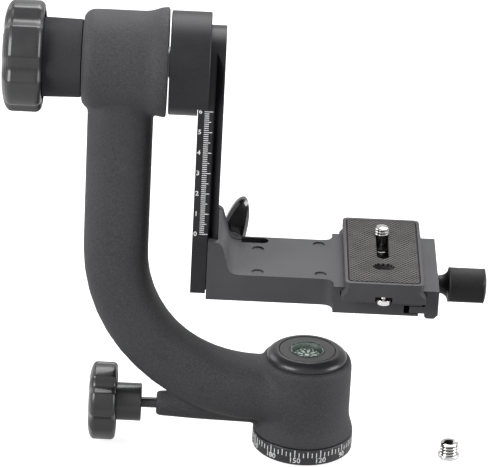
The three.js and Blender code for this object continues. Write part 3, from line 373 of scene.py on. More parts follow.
# %% Steel, plating and bronze
def bright(name, colour, rough, mark_size, bite):
    finish = Finish(name)
    marks = finish.noise(mark_size, 2.0)
    tone = finish.ramp(marks, (0.3, [c * 0.82 for c in colour]), (0.7, colour))
    return finish.surface(
        Base_Color=tone,
        Roughness=rough + marks * 0.1,
        Metallic=1.0,
        Normal=finish.bump(marks, bite, 0.03 * MM),
    )


STEEL = bright("turned_steel", seen(190, 190, 192), 0.28, 0.5 * MM, 0.15)
CHROME = bright("bright_plating", seen(232, 230, 228), 0.1, 1.2 * MM, 0.05)
BRONZE = bright("bearing_bronze", seen(176, 140, 88), 0.35, 0.6 * MM, 0.15)
print("bright finishes:", STEEL.name, CHROME.name, BRONZE.name)

# %% [markdown]
# ## Rubber, paint, card and clear plastic
# The plate's pad is rubber with staggered rows of small pits, whose shade is painted as dark dots
# in a warm grey skin, with a painted shadow line where the pad meets its recess. Two crossed
# cosine waves on the pad's own X and Y make the pits, once for the painted shade in the colour and
# once for the bump. The scales are filled with white paint. The compass card is green with pale
# marks, under a clear dome that is see-through in the middle and glossy at its rim.

# %% Rubber with rows of pits
PIT_PITCH = 2.26 * MM
PAD_CORNER = 2 * MM
SHADED_EDGE = 0.45 * MM


def rubber(low, high):
    """The pad's skin: pits with painted shade, and a painted shadow line where it meets its
    recess.
    """
    finish = Finish("pad_rubber")
    x, y, _ = finish.xyz(finish.place())
    pits = x.wave(1 / PIT_PITCH) * y.wave(1 / PIT_PITCH)
    middle = (low + high) / 2
    past_x = (abs(x - middle.x) - (high.x - middle.x - PAD_CORNER)).larger(0)
    past_y = (abs(y - middle.y) - (high.y - middle.y - PAD_CORNER)).larger(0)
    # Painted shadow: a line round the pad's rim, where it meets its recess.
    edge = past_x * past_x + past_y * past_y > (PAD_CORNER - SHADED_EDGE) ** 2
    worn = finish.noise(7 * MM, 3.0)
    skin = finish.ramp(worn, (0.3, seen(80, 77, 76)), (0.7, seen(98, 94, 93)))
    # Painted shade: the pits go near black in the colour, and the same mask shapes their bump.
    pit_depth_and_shade = finish.ramp(pits, (0, (0, 0, 0)), (0.2, (1, 1, 1)))
    return finish.surface(
        Base_Color=finish.blend(edge.larger(pit_depth_and_shade), skin, seen(12, 12, 12)),
        Roughness=0.8,
        Specular_IOR_Level=0.3,
        Normal=finish.bump(1 - pit_depth_and_shade, 0.7, 0.3 * MM),
    )


RUBBER = rubber(*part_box("plate_pad"))
print("pits every", round(PIT_PITCH / MM, 2), "mm")

# %% Paint in the engraved scales
def paint():
    finish = Finish("white_fill")
    chips = finish.noise(0.5 * MM, 3.0)
    tone = finish.ramp(chips, (0.3, seen(205, 205, 205)), (0.55, seen(250, 250, 250)))
    return finish.surface(Base_Color=tone, Roughness=0.7)


PAINT = paint()
print("paint:", len(PAINT.node_tree.nodes), "nodes")

# %% Compass card and dome
PETALS = 9


def compass_card(low, high):
    """The card's print: petals, a ring of marks at the rim and a pale hub."""
    centre = (low + high) / 2
    finish = Finish("compass_green")
    x, y, _ = finish.xyz(finish.place())
    away = finish.node(
        "ShaderNodeVectorMath",
        {"operation": "LENGTH"},
        {0: finish.node("ShaderNodeCombineXYZ", inputs={0: x - centre.x, 1: y - centre.y})},
        output="Value",
    )
    angle = x.math("ARCTAN2", y, x) / (2 * math.pi)
    share = away / ((high.x - low.x) / 2)
    petals = (angle.wave(PETALS) > 0.0) * (abs(share - 0.52) < 0.2)
    marks = (angle.wave(2 * PETALS) > 0.4) * (abs(share - 0.88) < 0.06)
    hub = share < 0.18
    green = finish.ramp(
        finish.noise(0.8 * MM, 3.0), (0.3, seen(6, 34, 20)), (0.7, seen(24, 88, 56))
    )
    tone = finish.blend(petals.larger(marks).larger(hub), green, seen(232, 240, 234))
    return finish.surface(Base_Color=tone, Roughness=0.5)


def clear_dome():
    finish = Finish("clear_dome")
    rim = finish.node("ShaderNodeLayerWeight", inputs={"Blend": 0.4}, output="Facing")
    streak = finish.noise(3 * MM, 2.0)
    return finish.surface(
        Base_Color=finish.ramp(streak, (0.3, seen(76, 102, 90)), (0.7, seen(104, 130, 118))),
        Roughness=0.06,
        Specular_IOR_Level=0.3,
        Alpha=0.03 + rim * 0.35,
    )


CARD = compass_card(*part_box("compass_card"))
DOME = clear_dome()
print("compass card with", PETALS, "petals")

# %% [markdown]
# ## Softened copies of the solids
# A machined piece is never as sharp as its drawing: each edge has a small break, and the bright
# line along it is most of what makes metal look like metal. The solid itself stays as it is. A
# copy of its mesh loses the lines inside its flat faces and gets a narrow bevel with hardened
# normals, so that the flat faces stay flat.

# %% Make a piece of a bmesh
def mesh_of(name, bm):
    """A mesh of what a bmesh holds, which is then let go."""
    mesh = bpy.data.meshes.new(name)
    bm.to_mesh(mesh)
    bm.free()
    return mesh


def keep(name, bm, material, body, stands_for=(), slot=None, sharp=32):
    """Turns a bmesh into a piece that rides a body and stands for CAD nodes."""
    for face in bm.faces:
        face.smooth = True
    for edge in bm.edges:
        edge.smooth = len(edge.link_faces) == 2 and edge.calc_face_angle() < math.radians(sharp)
    piece = add_object(name, mesh_of(name, bm))
    piece.data.materials.append(material)
    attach(piece, body)
    if stands_for:
        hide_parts(*stands_for)
    return piece


def body_of(node):
    """The body that a node rides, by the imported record."""
    groups = frame["record"]["behaviour"]["bodies"]
    return next(body for body, nodes in groups.items() if node in nodes)


def slot_of(node):
    """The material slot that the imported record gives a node."""
    return next(
        part["material_slot"] for part in frame["record"]["subparts"] if part["node"] == node
    )


print("the plate rides", body_of("plate"), "and takes its finish from", slot_of("plate"))

# %% Soften a copy of a node
WELD = 0.001 * MM


def merged(node):
    """A copy of a node's mesh with its corners joined and its flat faces whole."""
    bm = bmesh.new()
    bm.from_mesh(frame["nodes"][node].data)
    bmesh.ops.remove_doubles(bm, verts=bm.verts, dist=WELD)
    bmesh.ops.dissolve_limit(
        bm, angle_limit=math.radians(0.5), verts=bm.verts, edges=bm.edges
    )
    return bm


def cut_away(piece, tool):
    """Takes a bmesh tool's shape out of a piece for good."""
    cutter = add_object("tool", mesh_of("tool", tool))
    cut = piece.modifiers.new("cut", "BOOLEAN")
    cut.operation = "DIFFERENCE"
    cut.solver = "EXACT"
    cut.object = cutter
    evaluated = piece.evaluated_get(bpy.context.evaluated_depsgraph_get())
    made = bpy.data.meshes.new_from_object(evaluated)
    piece.modifiers.clear()
    piece.data = made
    bpy.data.objects.remove(cutter)


def soften(piece, width, segments=2, angle=32):
    """Breaks the piece's edges by so much."""
    bevel = piece.modifiers.new("edge_break", "BEVEL")
    bevel.width = width
    bevel.segments = segments
    bevel.limit_method = "ANGLE"
    bevel.angle_limit = math.radians(angle)
    bevel.harden_normals = True
    return piece


def softened(node, material, width, tools=()):
    """A node's copy with some cuts and broken edges, in the node's place."""
    piece = keep(node + "_dressed", merged(node), material, body_of(node), (node,), slot_of(node))
    for tool in tools:
        cut_away(piece, tool)
    return soften(piece, width)


print("corners within", round(WELD / MM, 4), "mm are joined")

# %% Break the edges of the milled pieces
MILLED = {
    "tilt_disc": (SATIN, 0.35),
    "dovetail_rail": (RAIL, 0.3),
    "bracket": (BLASTED, 0.3),
    "clamp_jaw": (BLASTED, 0.3),
    "base_ring": (RING, 0.25),
    "tilt_collar": (SLEEVE, 0.3),
    "cap_insert": (CAP, 0.12),
    "plate_pad": (RUBBER, 0.2),
}
for node, (material, width) in MILLED.items():
    piece = softened(node, material, width * MM)
    print(node, "has", len(piece.data.polygons), "faces before its bevel")

# %% [markdown]
# ## The plate
# The plate that a lens foot is screwed to slides in the clamp. Its upper lip has rounded corners,
# and each end is milled away round the head of a stop screw, which keeps the plate from sliding
# out. The solid has the plain forms, so a corner post and a slab are cut out of its copy: a
# Boolean leaves faces as clean as a cutter does, which a bevel of one edge can't promise here.

# %% Tools for slots and corners
ROUND_STEPS = 8


def even_steps(end, count):
    """Values from zero to an end in so many even steps, both ends included."""
    return [end * i / count for i in range(count + 1)]


def slab(middle, size, turn=0.0):
    """A box tool about a middle, turned about Z."""
    bm = bmesh.new()
    bmesh.ops.create_cube(bm, size=1)
    placed = Matrix.Translation(middle) @ Matrix.Rotation(math.radians(turn), 4, "Z")
    bmesh.ops.transform(bm, matrix=placed @ Matrix.Diagonal((*size, 1)), verts=bm.verts)
    return bm


def corner_waste(corner, inward, radius, height):
    """The tool that rounds an upright corner: a corner post less its quarter round."""
    past = -1 * MM
    turns = even_steps(math.pi / 2, ROUND_STEPS)
    outline = [(radius * (1 - math.cos(a)), radius * (1 - math.sin(a))) for a in turns]
    outline += [(radius, past), (past, past), (past, radius)]
    bm = bmesh.new()
    verts = [
        bm.verts.new(corner + Vector((x * inward.x, y * inward.y, 0))) for x, y in outline
    ]
    made = bmesh.ops.extrude_face_region(bm, geom=[bm.faces.new(verts)])["geom"]
    raised = [item for item in made if isinstance(item, bmesh.types.BMVert)]
    bmesh.ops.translate(bm, vec=(0, 0, height), verts=raised)
    bmesh.ops.recalc_face_normals(bm, faces=bm.faces)
    return bm


print("a rounded corner has", ROUND_STEPS, "flats")

# %% Cut the plate's ends and corners
LIP_WIDTH = 35.7 * MM
LIP_BOTTOM = 97.4 * MM
CORNER_RADIUS = 2.6 * MM
CORNER_CUT = 5 * MM
UNDER_LIP = 0.2 * MM
STOP_CLEAR = 0.55 * MM
STOP_MOUTH = 5.6 * MM
plate_low, plate_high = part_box("plate")
plate_middle = (plate_low.x + plate_high.x) / 2
plate_cuts = []
for node, end in (("stop_screw_1", plate_low.y), ("stop_screw_2", plate_high.y)):
    low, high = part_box(node)
    middle = (low + high) / 2
    room = (high.x - low.x + 2 * STOP_CLEAR, 2 * abs(end - middle.y), STOP_MOUTH)
    plate_cuts.append(slab(Vector((middle.x, end, plate_low.z)), room))
for side in (-1, 1):
    for end in (plate_low.y, plate_high.y):
        corner = Vector((plate_middle + side * LIP_WIDTH / 2, end, LIP_BOTTOM - UNDER_LIP))
        inward = Vector((-side, -math.copysign(1, end), 0))
        plate_cuts.append(corner_waste(corner, inward, CORNER_RADIUS, CORNER_CUT))
plate = softened("plate", BLASTED, 0.5 * MM, plate_cuts)
print("plate:", len(plate.data.polygons), "faces before its bevel")

# %% [markdown]
# ## Pieces that mostly hide
# Bearings, bush, shoe, pads and screws sit inside the head and show only through gaps and from
# below. New forms would never be seen there, so they keep the solids' meshes and only get the
# metal that they are made of.

# %% Dress the inner pieces
def dress(node, material):
    """A new finish on a node that keeps its own mesh."""
    for slot in frame["nodes"][node].material_slots:
        slot.material = material


INNER = {
    STEEL: [
        "spindle_nut", "pan_bearing", "tilt_bearing_inner", "tilt_bearing_outer", "tilt_shaft",
        "shaft_retainer", "pan_spindle", "clamp_stud", "lock_washer", "lock_screw",
        "compass_bowl",
    ],
    BRONZE: ["pan_bush", "pan_brake_shoe", "tilt_brake_pad"],
    BLACKENED: ["pan_knob_stud", "tilt_knob_screw", "camera_screw_washer", "clamp_washer"],
}
for material, nodes in INNER.items():
    for node in nodes:
        dress(node, material)
print("dressed in place:", sum(len(nodes) for nodes in INNER.values()))

# %% [markdown]
# ## The cast arm
# Casting leaves no sharp inner corner: where the beam runs into the hub, the housing and the
# barrel, the metal flows together in a fillet. The solid has plain seams there. A voxel remesh
# of its copy makes an even skin, and smoothing that skin fills the seams with round fillets. The
# turned faces at the ends must stay crisp, so vertices near them are left out of the smoothing.

# %% Remesh and smooth the arm
SKIN = 0.85 * MM
SMOOTHING_ROUNDS = 14
HUB_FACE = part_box("tilt_disc")[0].x - 2.6 * MM
HUB_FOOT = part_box("tilt_disc")[0].z - 2 * MM
OUTER_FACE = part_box("arm_casting")[0].x + 0.4 * MM
FOOT_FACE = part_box("base_ring")[1].z + 1.2 * MM
TOP_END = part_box("cap")[1].z
TOP_FACE = TOP_END - 4.6 * MM
TOP_START = -20.5 * MM
SHOE_LOW, SHOE_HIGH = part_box("pan_brake_shoe")
SHOE_ROOM = 3 * MM


def near_turned_face(place):
    """True close to the faces that a lathe or a drill cut in the casting."""
    at_hub = place.x > HUB_FACE and place.z > HUB_FOOT
    at_top = TOP_FACE < place.z < TOP_END and place.x > TOP_START
    at_shoe = all(
        low - SHOE_ROOM < value < high + SHOE_ROOM
        for low, value, high in zip(SHOE_LOW, place, SHOE_HIGH)
    )
    return at_hub or at_top or at_shoe or place.x < OUTER_FACE or place.z < FOOT_FACE


def cast_arm():
    bm = merged("arm_casting")
    rough = keep("arm_rough", bm, POWDER, "arm")
    remesh = rough.modifiers.new("skin", "REMESH")
    remesh.mode = "VOXEL"
    remesh.voxel_size = SKIN
    evaluated = rough.evaluated_get(bpy.context.evaluated_depsgraph_get())
    skin = bmesh.new()
    skin.from_mesh(evaluated.to_mesh())
    bpy.data.objects.remove(rough)
    free = [vert for vert in skin.verts if not near_turned_face(vert.co)]
    for _ in range(SMOOTHING_ROUNDS):
        bmesh.ops.smooth_vert(
            skin, verts=free, factor=0.5, use_axis_x=True, use_axis_y=True, use_axis_z=True
        )
    return keep("cast_arm", skin, POWDER, "arm", ("arm_casting",), slot_of("arm_casting"), 60)


arm = cast_arm()
print("arm skin:", len(arm.data.polygons), "faces")

# %% [markdown]
# ## Lobed knobs
# Each knob has six lobes with a rounded valley between them, and a face that falls off towards its
# rim. The outline starts as a filled circle of many points. It is extruded along the axis again
# and again, and after each extrusion its points move to their lobe or valley radius. The last
# rings are plain circles: they sink the seat for the collar, and the bore for the stud.

# %% Lobed outline
LOBES = 6
VALLEY_SHARE = 4 / 9
OUTLINE_POINTS = 216
EDGE_STEPS = 6


def lobe_radius(angle, radius, valley, phase):
    """How far the outline reaches at an angle: the lobe's radius, less the valley there."""
    turn = (angle - math.radians(phase)) * LOBES / (2 * math.pi)
    away = abs(turn - round(turn)) / (VALLEY_SHARE / 2)
    return radius - (valley * math.cos(away * math.pi / 2) if away < 1 else 0)


def quarter(depth, width):
    """A quarter round as what is left of its depth and its width, from its foot to its end."""
    turns = even_steps(math.pi / 2, EDGE_STEPS)
    return [(depth * (1 - math.sin(turn)), width * (1 - math.cos(turn))) for turn in turns]


def lobed(centre_z, start, end, outline, face, back, circles):
    """A knob on an axis along X: its lobed part from start to end, then plain circles."""
    edges = [(start + a, b) for a, b in reversed(quarter(*face))]
    edges += [(end - a, b) for a, b in quarter(back, back)]
    stations = [(x, lambda turn, b=b: lobe_radius(turn, *outline) - b) for x, b in edges]
    stations += [(x, lambda turn, r=r: r) for x, r in circles]
    bm = bmesh.new()
    bmesh.ops.create_circle(bm, cap_ends=True, segments=OUTLINE_POINTS, radius=1)
    top = bm.faces[:][0]
    turns = {vert: math.atan2(vert.co.y, vert.co.x) for vert in bm.verts}
    for number, (x, reach) in enumerate(stations):
        if number:
            grown = bmesh.ops.extrude_face_region(bm, geom=[top])["geom"]
            top = next(item for item in grown if isinstance(item, bmesh.types.BMFace))
            turns = {v: math.atan2(v.co.z - centre_z, -v.co.y) for v in top.verts}
        for vert, turn in turns.items():
            r = reach(turn)
            vert.co = (x, -r * math.cos(turn), centre_z + r * math.sin(turn))
    bmesh.ops.recalc_face_normals(bm, faces=bm.faces)
    return bm


print("a knob's outline has", OUTLINE_POINTS, "points")

# %% Tilt knob with its seat for the collar
CLEAR = 0.3 * MM


def room_for(node):
    """The height of a node's axis, and the radius and the floor of a hole that clears it."""
    low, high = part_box(node)
    return (low.z + high.z) / 2, (high.z - low.z) / 2 + CLEAR, low.x - CLEAR


TILT_OUTLINE = (25 * MM, 2.8 * MM, 6.8)
TILT_FACE = (4.5 * MM, 10 * MM)
TILT_BACK = 3 * MM
tilt_low, tilt_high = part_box("tilt_knob")
_, seat, seat_floor = room_for("tilt_collar")
tilt_axis, tilt_bore, tilt_floor = room_for("tilt_knob_screw")
tilt_bm = lobed(
    tilt_axis, tilt_low.x, tilt_high.x, TILT_OUTLINE, TILT_FACE, TILT_BACK,
    [(tilt_high.x, seat), (seat_floor, seat), (seat_floor, tilt_bore), (tilt_floor, tilt_bore)],
)
keep("tilt_knob_moulded", tilt_bm, KNOB, "tilt_lock", ("tilt_knob",), "gloss_plastic", 40)
print("tilt knob spans", round((tilt_high.x - tilt_low.x) / MM, 1), "mm")

# %% Pan knob with its hub and bore
PAN_OUTLINE = (18.3 * MM, 2.3 * MM, 50.9)
PAN_FACE = (3 * MM, 8 * MM)
PAN_BACK = 2.2 * MM
HUB_RADIUS = 8.85 * MM
HUB_LENGTH = 11.6 * MM
HUB_EDGE = 0.5 * MM
pan_low, pan_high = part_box("pan_knob")
pan_axis, pan_bore, pan_floor = room_for("pan_knob_stud")
lobes_end = pan_high.x - HUB_LENGTH
pan_bm = lobed(
    pan_axis, pan_low.x, lobes_end, PAN_OUTLINE, PAN_FACE, PAN_BACK,
    [(lobes_end, HUB_RADIUS),
     *[(pan_high.x - a, HUB_RADIUS - b) for a, b in quarter(HUB_EDGE, HUB_EDGE)],
     (pan_high.x, pan_bore), (pan_floor, pan_bore)],
)
keep("pan_knob_moulded", pan_bm, KNOB, "pan_lock", ("pan_knob",), "gloss_plastic", 40)
print("pan knob spans", round((pan_high.x - pan_low.x) / MM, 1), "mm")

# %% [markdown]
# ## Turned pieces
# A lathe makes a piece by turning its profile about an axis, and Blender's spin does the same:
# half a section is drawn as a line of vertices and swept through a full turn.

# %% Spin a profile
SPIN_STEPS = 96


def lay(bm, axis, centre):
    """Lays a form made along Z along X if need be, and moves it to its centre."""
    turn = Matrix.Rotation(math.pi / 2, 4, "Y") if axis == "x" else Matrix.Identity(4)
    bmesh.ops.transform(bm, matrix=Matrix.Translation(centre) @ turn, verts=bm.verts)


def spun(profile, axis, centre, steps=SPIN_STEPS):
    """A profile of (radius, height) pairs, swept round X or Z through a centre."""
    bm = bmesh.new()
    verts = [bm.verts.new((r, 0, h)) for r, h in profile]
    edges = [bm.edges.new(pair) for pair in zip(verts, verts[1:])]
    bmesh.ops.spin(
        bm, geom=verts + edges, cent=(0, 0, 0), axis=(0, 0, 1), angle=2 * math.pi,
        steps=steps, use_merge=True, use_duplicate=False,
    )
    bmesh.ops.remove_doubles(bm, verts=bm.verts, dist=WELD)
    lay(bm, axis, centre)
    bmesh.ops.recalc_face_normals(bm, faces=bm.faces)
    return bm


print("a turned piece has", SPIN_STEPS, "flats round it")

# %% [markdown]
# ## The cap
# The cap is one turned piece: a thin upright rim, a slope that rounds over to a flat top, and a
# seat for the inner ring. The slope bends more at its foot than at its top, which no bevel does,
# so its points are given as shares of its width and height.

# %% Turn the cap
RIM_RISE = 4.2 * MM
RIM_HEIGHT = 0.9 * MM
RIM_BREAK = 0.2 * MM
SPIGOT_RADIUS = 14 * MM
SEAT_EDGE = 0.15 * MM
SLOPE_END = 1.1 * MM
SLOPE_SHARES = [(0.0, 0.0), (0.12, 0.3), (0.35, 0.58), (0.62, 0.82), (0.85, 0.96), (1.0, 1.0)]
cap_low, cap_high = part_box("cap")
insert_low, insert_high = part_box("cap_insert")
cap_radius = cap_high.x
rim_bottom = cap_low.z + RIM_RISE
rim_top = rim_bottom + RIM_HEIGHT
insert_floor = insert_low.z - CLEAR
flat = insert_high.x + CLEAR
bowl_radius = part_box("compass_bowl")[1].x + CLEAR
slope = [
    (
        cap_radius + (flat + SLOPE_END - cap_radius) * inward,
        rim_top + (cap_high.z - rim_top) * upward,
    )
    for inward, upward in SLOPE_SHARES
]
cap_profile = [
    (bowl_radius, cap_low.z),
    (SPIGOT_RADIUS, cap_low.z),
    (SPIGOT_RADIUS, rim_bottom),
    (cap_radius - RIM_BREAK, rim_bottom),
    (cap_radius, rim_bottom + RIM_BREAK),
    *slope,
    (flat + SEAT_EDGE, cap_high.z),
    (flat, cap_high.z - SEAT_EDGE),
    (flat, insert_floor),
    (bowl_radius, insert_floor),
    (bowl_radius, cap_low.z),
]
cap_bm = spun(cap_profile, "z", Vector((0, 0, 0)))
keep("cap_turned", cap_bm, CAP, "arm", ("cap",), "gloss_black", 40)
print("cap:", round(2 * cap_radius / MM, 1), "mm wide")

# %% [markdown]
# ## The compass
# A small liquid compass sits in the cap: a card with pale marks under a clear dome, inside a
# cup with a dark bead at its edge. The card turns by itself, so it is a body of its own. Its
# print is only colour and stays in the shader, but dome and bead bend light and need a form.

# %% Card, dome and edge
DOME_WALL = 0.3 * MM
DOME_STEPS = 10
BEAD_SIZE = 0.28 * MM
BEAD_STEPS = 10
dress("compass_card", CARD)
dome_low, dome_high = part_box("compass_dome")
dome_radius = dome_high.x
dome_height = dome_high.z - dome_low.z
dome_profile = [
    (0, 0),
    (dome_radius, 0),
    (dome_radius, DOME_WALL),
    *[
        (dome_radius * math.cos(turn), DOME_WALL + (dome_height - DOME_WALL) * math.sin(turn))
        for turn in even_steps(math.pi / 2, DOME_STEPS)[1:-1]
    ],
    (0, dome_height),
]
dome_bm = spun(dome_profile, "z", Vector((0, 0, dome_low.z)), 64)
keep("dome_moulded", dome_bm, DOME, "arm", ("compass_dome",), "clear", 40)
bead_radius = dome_radius + 0.25 * MM
bead = [
    (bead_radius + BEAD_SIZE * math.cos(turn), BEAD_SIZE * math.sin(turn))
    for turn in even_steps(2 * math.pi, BEAD_STEPS)
]
edge_bm = spun(bead, "z", Vector((0, 0, insert_high.z - 0.05 * MM)), 64)
keep("compass_edge", edge_bm, BLACKENED, "arm", (), "matte_plastic")
print("dome:", round(2 * dome_radius / MM, 1), "mm wide")

# %% [markdown]
# ## The pan scale
# The base ring is engraved all round: a tick every five degrees, longer at fifteen and thirty,
# with a number at each thirty. The numbers rise to the left. The engraving is filled with white
# paint. Marks in a shader would blur where they are small, so a tick here is a thin plate set
# on the ring, and a number is text that is turned into a mesh and wrapped round it.

# %% Wrap small things round the ring
RING_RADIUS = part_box("base_ring")[1].x
PROUD = 0.03 * MM
FIRST_ANGLE = -9
FIRST_NUMBER = 150


def scale_angle(number):
    """Degrees from the front towards +X at which a number stands."""
    return FIRST_ANGLE + FIRST_NUMBER - number


def around(place, angle):
    """A point (across, height) of a label, wrapped round the ring at an angle."""
    turn = math.radians(angle) + place.x / RING_RADIUS
    reach = RING_RADIUS + PROUD + place.z
    return Vector((math.sin(turn) * reach, -math.cos(turn) * reach, place.y))


def plate_mark(bm, across, height, low, width, thick, wrap):
    """One thin painted plate, shaped from a cube."""
    for vert in bmesh.ops.create_cube(bm, size=1)["verts"]:
        vert.co = wrap(Vector((
            across + vert.co.x * width,
            low + (vert.co.y + 0.5) * height,
            (vert.co.z - 0.5) * thick,
        )))


def painted(name, bm, body):
    """The marks of a scale as one piece."""
    bmesh.ops.recalc_face_normals(bm, faces=bm.faces)
    return keep(name, bm, PAINT, body, (), "scale_white")


def tick_length(number, lengths):
    """How long a number's tick is: the first length whose step divides the number."""
    return next(length * MM for step, length in lengths.items() if number % step == 0)


print("number 0 stands", scale_angle(0), "degrees from the front")

# %% Cut the ticks of the pan scale
TICK_LENGTHS = {30: 3.5, 15: 3.0, 5: 2.3}
TICK_FOOT = 4.1 * MM
TICK_WIDTH = 0.42 * MM
TICK_THICK = 0.1 * MM
ticks = bmesh.new()
for degree in range(0, 360, 5):
    tall = tick_length(degree, TICK_LENGTHS)
    angle = scale_angle(degree)
    plate_mark(
        ticks, 0, tall, TICK_FOOT, TICK_WIDTH, TICK_THICK, lambda p, a=angle: around(p, a)
    )
print("pan scale:", len(ticks.faces) // 6, "ticks")
painted("pan_scale_ticks", ticks, "base")

# %% Number the pan scale
NUMBER_HEIGHT = 2.6 * MM
NUMBER_MIDDLE = 2.4 * MM
FIGURE_SHARE = 0.7


def word(text, height, wrap, bm):
    """Adds a text's mesh to a bmesh, with each point put through wrap."""
    curve = bpy.data.curves.new("word", "FONT")
    curve.body = text
    curve.size = height / FIGURE_SHARE
    curve.align_x = "CENTER"
    curve.align_y = "CENTER"
    curve.extrude = 0.05 * MM
    curve.offset = 0.04 * MM
    curve.resolution_u = 2
    holder = add_object("word", curve)
    flat_mesh = holder.evaluated_get(bpy.context.evaluated_depsgraph_get()).to_mesh()
    start = len(bm.verts)
    bm.from_mesh(flat_mesh)
    bm.verts.ensure_lookup_table()
    for vert in bm.verts[start:]:
        vert.co = wrap(vert.co)
    bpy.data.objects.remove(holder)
    bpy.data.curves.remove(curve)


numbers = bmesh.new()
for degree in range(0, 360, 30):
    angle = scale_angle(degree)
    word(
        str(degree), NUMBER_HEIGHT,
        lambda p, a=angle: around(p + Vector((0, NUMBER_MIDDLE, 0)), a), numbers,
    )
print("numbers:", len(numbers.faces), "faces")
painted("pan_scale_numbers", numbers, "base")

# %% [markdown]
# ## The height scale
# The rail's front side carries a ruler from 0 to 6 centimetres, so that a lens can be set back
# to the same height. Ticks start from one line and grow to the right. They are made like those
# of the ring, and only the rule that puts a flat mark in its place is another.

# %% Engrave the ruler
RULER_LENGTHS = {10: 3.75, 5: 3.05, 1: 2.1}
RULER_ZERO = 113.3 * MM
RULER_TICK = 0.34 * MM
RULER_THICK = 0.06 * MM
FIGURE_HEIGHT = 2.2 * MM
FIGURE_PLACE = -1.85 * MM
rail_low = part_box("dovetail_rail")[0]
RULER_LINE = rail_low.x + 3.06 * MM
RULER_FACE = rail_low.y - PROUD


def on_rail(place):
    """A point (across, height) of a mark, laid on the rail's front side."""
    return Vector((RULER_LINE + place.x, RULER_FACE - place.z, place.y))


ruler = bmesh.new()
for millimetre in range(61):
    long = tick_length(millimetre, RULER_LENGTHS)
    foot = RULER_ZERO + millimetre * MM - RULER_TICK / 2
    plate_mark(ruler, long / 2, RULER_TICK, foot, long, RULER_THICK, on_rail)
for centimetre in range(7):
    middle = Vector((FIGURE_PLACE, RULER_ZERO + centimetre * 10 * MM, 0))
    word(str(centimetre), FIGURE_HEIGHT, lambda p, m=middle: on_rail(p + m), ruler)
painted("height_scale", ruler, "swing")
print("ruler ends at", round(RULER_ZERO / MM + 60, 1), "mm")

# %% [markdown]
# ## Knurled clamp knob
# A diamond knurl is rolled into the metal by two wheels that cross. Two slanting waves run round
# the barrel, and where either of them is low there is a groove. The barrel is a fine grid of
# points, and each point moves in by the depth there, fading out at both ends.

# %% Roll the knurl
KNURL_COUNT = 38
KNURL_DEPTH = 0.6 * MM
KNURL_PITCH = 1.5 * MM
KNURL_FADE = 0.8 * MM
KNURL_ROWS = 64
FLARE_LENGTH = 4.7 * MM
FLARE_STEPS = 6
FLARE_EDGE = 0.4 * MM
NECK_RADIUS = 4.2 * MM
NECK_BORE = 2.2 * MM
END_LENGTH = 1.2 * MM
clamp_low, clamp_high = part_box("clamp_knob")
clamp_middle = (clamp_low + clamp_high) / 2
clamp_radius = (clamp_high.z - clamp_low.z) / 2
clamp_length = clamp_high.x - clamp_low.x
barrel_left = clamp_low.x + FLARE_LENGTH
barrel_right = clamp_high.x - END_LENGTH


def knurl_profile():
    """The neck, its flare to the barrel, the barrel in many rows and a rounded end."""
    widen = clamp_radius - FLARE_EDGE - NECK_RADIUS
    rise = FLARE_LENGTH - 2 * FLARE_EDGE
    return [
        (NECK_BORE, 0),
        (NECK_RADIUS, 0),
        *[
            (NECK_RADIUS + widen * (1 - math.cos(turn)), FLARE_EDGE + rise * math.sin(turn))
            for turn in even_steps(math.pi / 2, FLARE_STEPS)
        ],
        *[
            (clamp_radius, FLARE_LENGTH + along)
            for along in even_steps(barrel_right - barrel_left, KNURL_ROWS)
        ],
        (clamp_radius - 0.7 * MM, clamp_length - 0.8 * MM),
        (clamp_radius * 0.55, clamp_length - 0.2 * MM),
        (0, clamp_length),
    ]


def knurled():
    """The spun profile with the knurl pressed into its barrel."""
    centre = Vector((clamp_low.x, 0, clamp_middle.z))
    bm = spun(knurl_profile(), "x", centre, KNURL_COUNT * 4)
    for vert in bm.verts:
        along = vert.co.x - barrel_left
        if along < -WELD or vert.co.x > barrel_right + WELD:
            continue
        y, z = vert.co.y, vert.co.z - clamp_middle.z
        turn = math.atan2(z, y) * KNURL_COUNT / (2 * math.pi)
        first = abs((turn + along / KNURL_PITCH) % 1 - 0.5) * 2
        second = abs((turn - along / KNURL_PITCH) % 1 - 0.5) * 2
        fade = min(1, along / KNURL_FADE, (barrel_right - vert.co.x) / KNURL_FADE)
        depth = KNURL_DEPTH * (1 - min(first, second)) * max(0, fade)
        scale = 1 - depth / clamp_radius
        vert.co.y = y * scale
        vert.co.z = clamp_middle.z + z * scale
    return bm


knurl = keep(
    "clamp_knob_knurled", knurled(), MATTE, "clamp_lock", ("clamp_knob",), "matte_black", 20
)
print("knurl:", len(knurl.data.polygons), "faces")

# %% [markdown]
# ## Screw threads
# A thread is a groove that climbs as it goes round. On a grid of points round a rod the depth at
# each point depends on its height and angle together, so one rule makes the whole helix. The deep
# faces of the groove get dark metal as painted shade.

# %% Cut a thread
def threaded(profile, centre, low, high, radius, pitch, depth, steps=72):
    """An upright spun profile whose wall between two heights is cut with a thread."""
    bm = spun(profile, "z", Vector((0, 0, 0)), steps)
    for vert in bm.verts:
        reach = math.hypot(vert.co.x, vert.co.y)
        if reach < radius - 0.01 * MM or not low <= vert.co.z <= high:
            continue
        turn = math.atan2(vert.co.y, vert.co.x) / (2 * math.pi)
        tooth = abs(((vert.co.z - low) / pitch - turn) % 1 - 0.5) * 2
        cut = depth * min(1, tooth * 1.25)
        vert.co.x *= 1 - cut / reach
        vert.co.y *= 1 - cut / reach
    bmesh.ops.translate(bm, vec=centre, verts=bm.verts)
    return bm


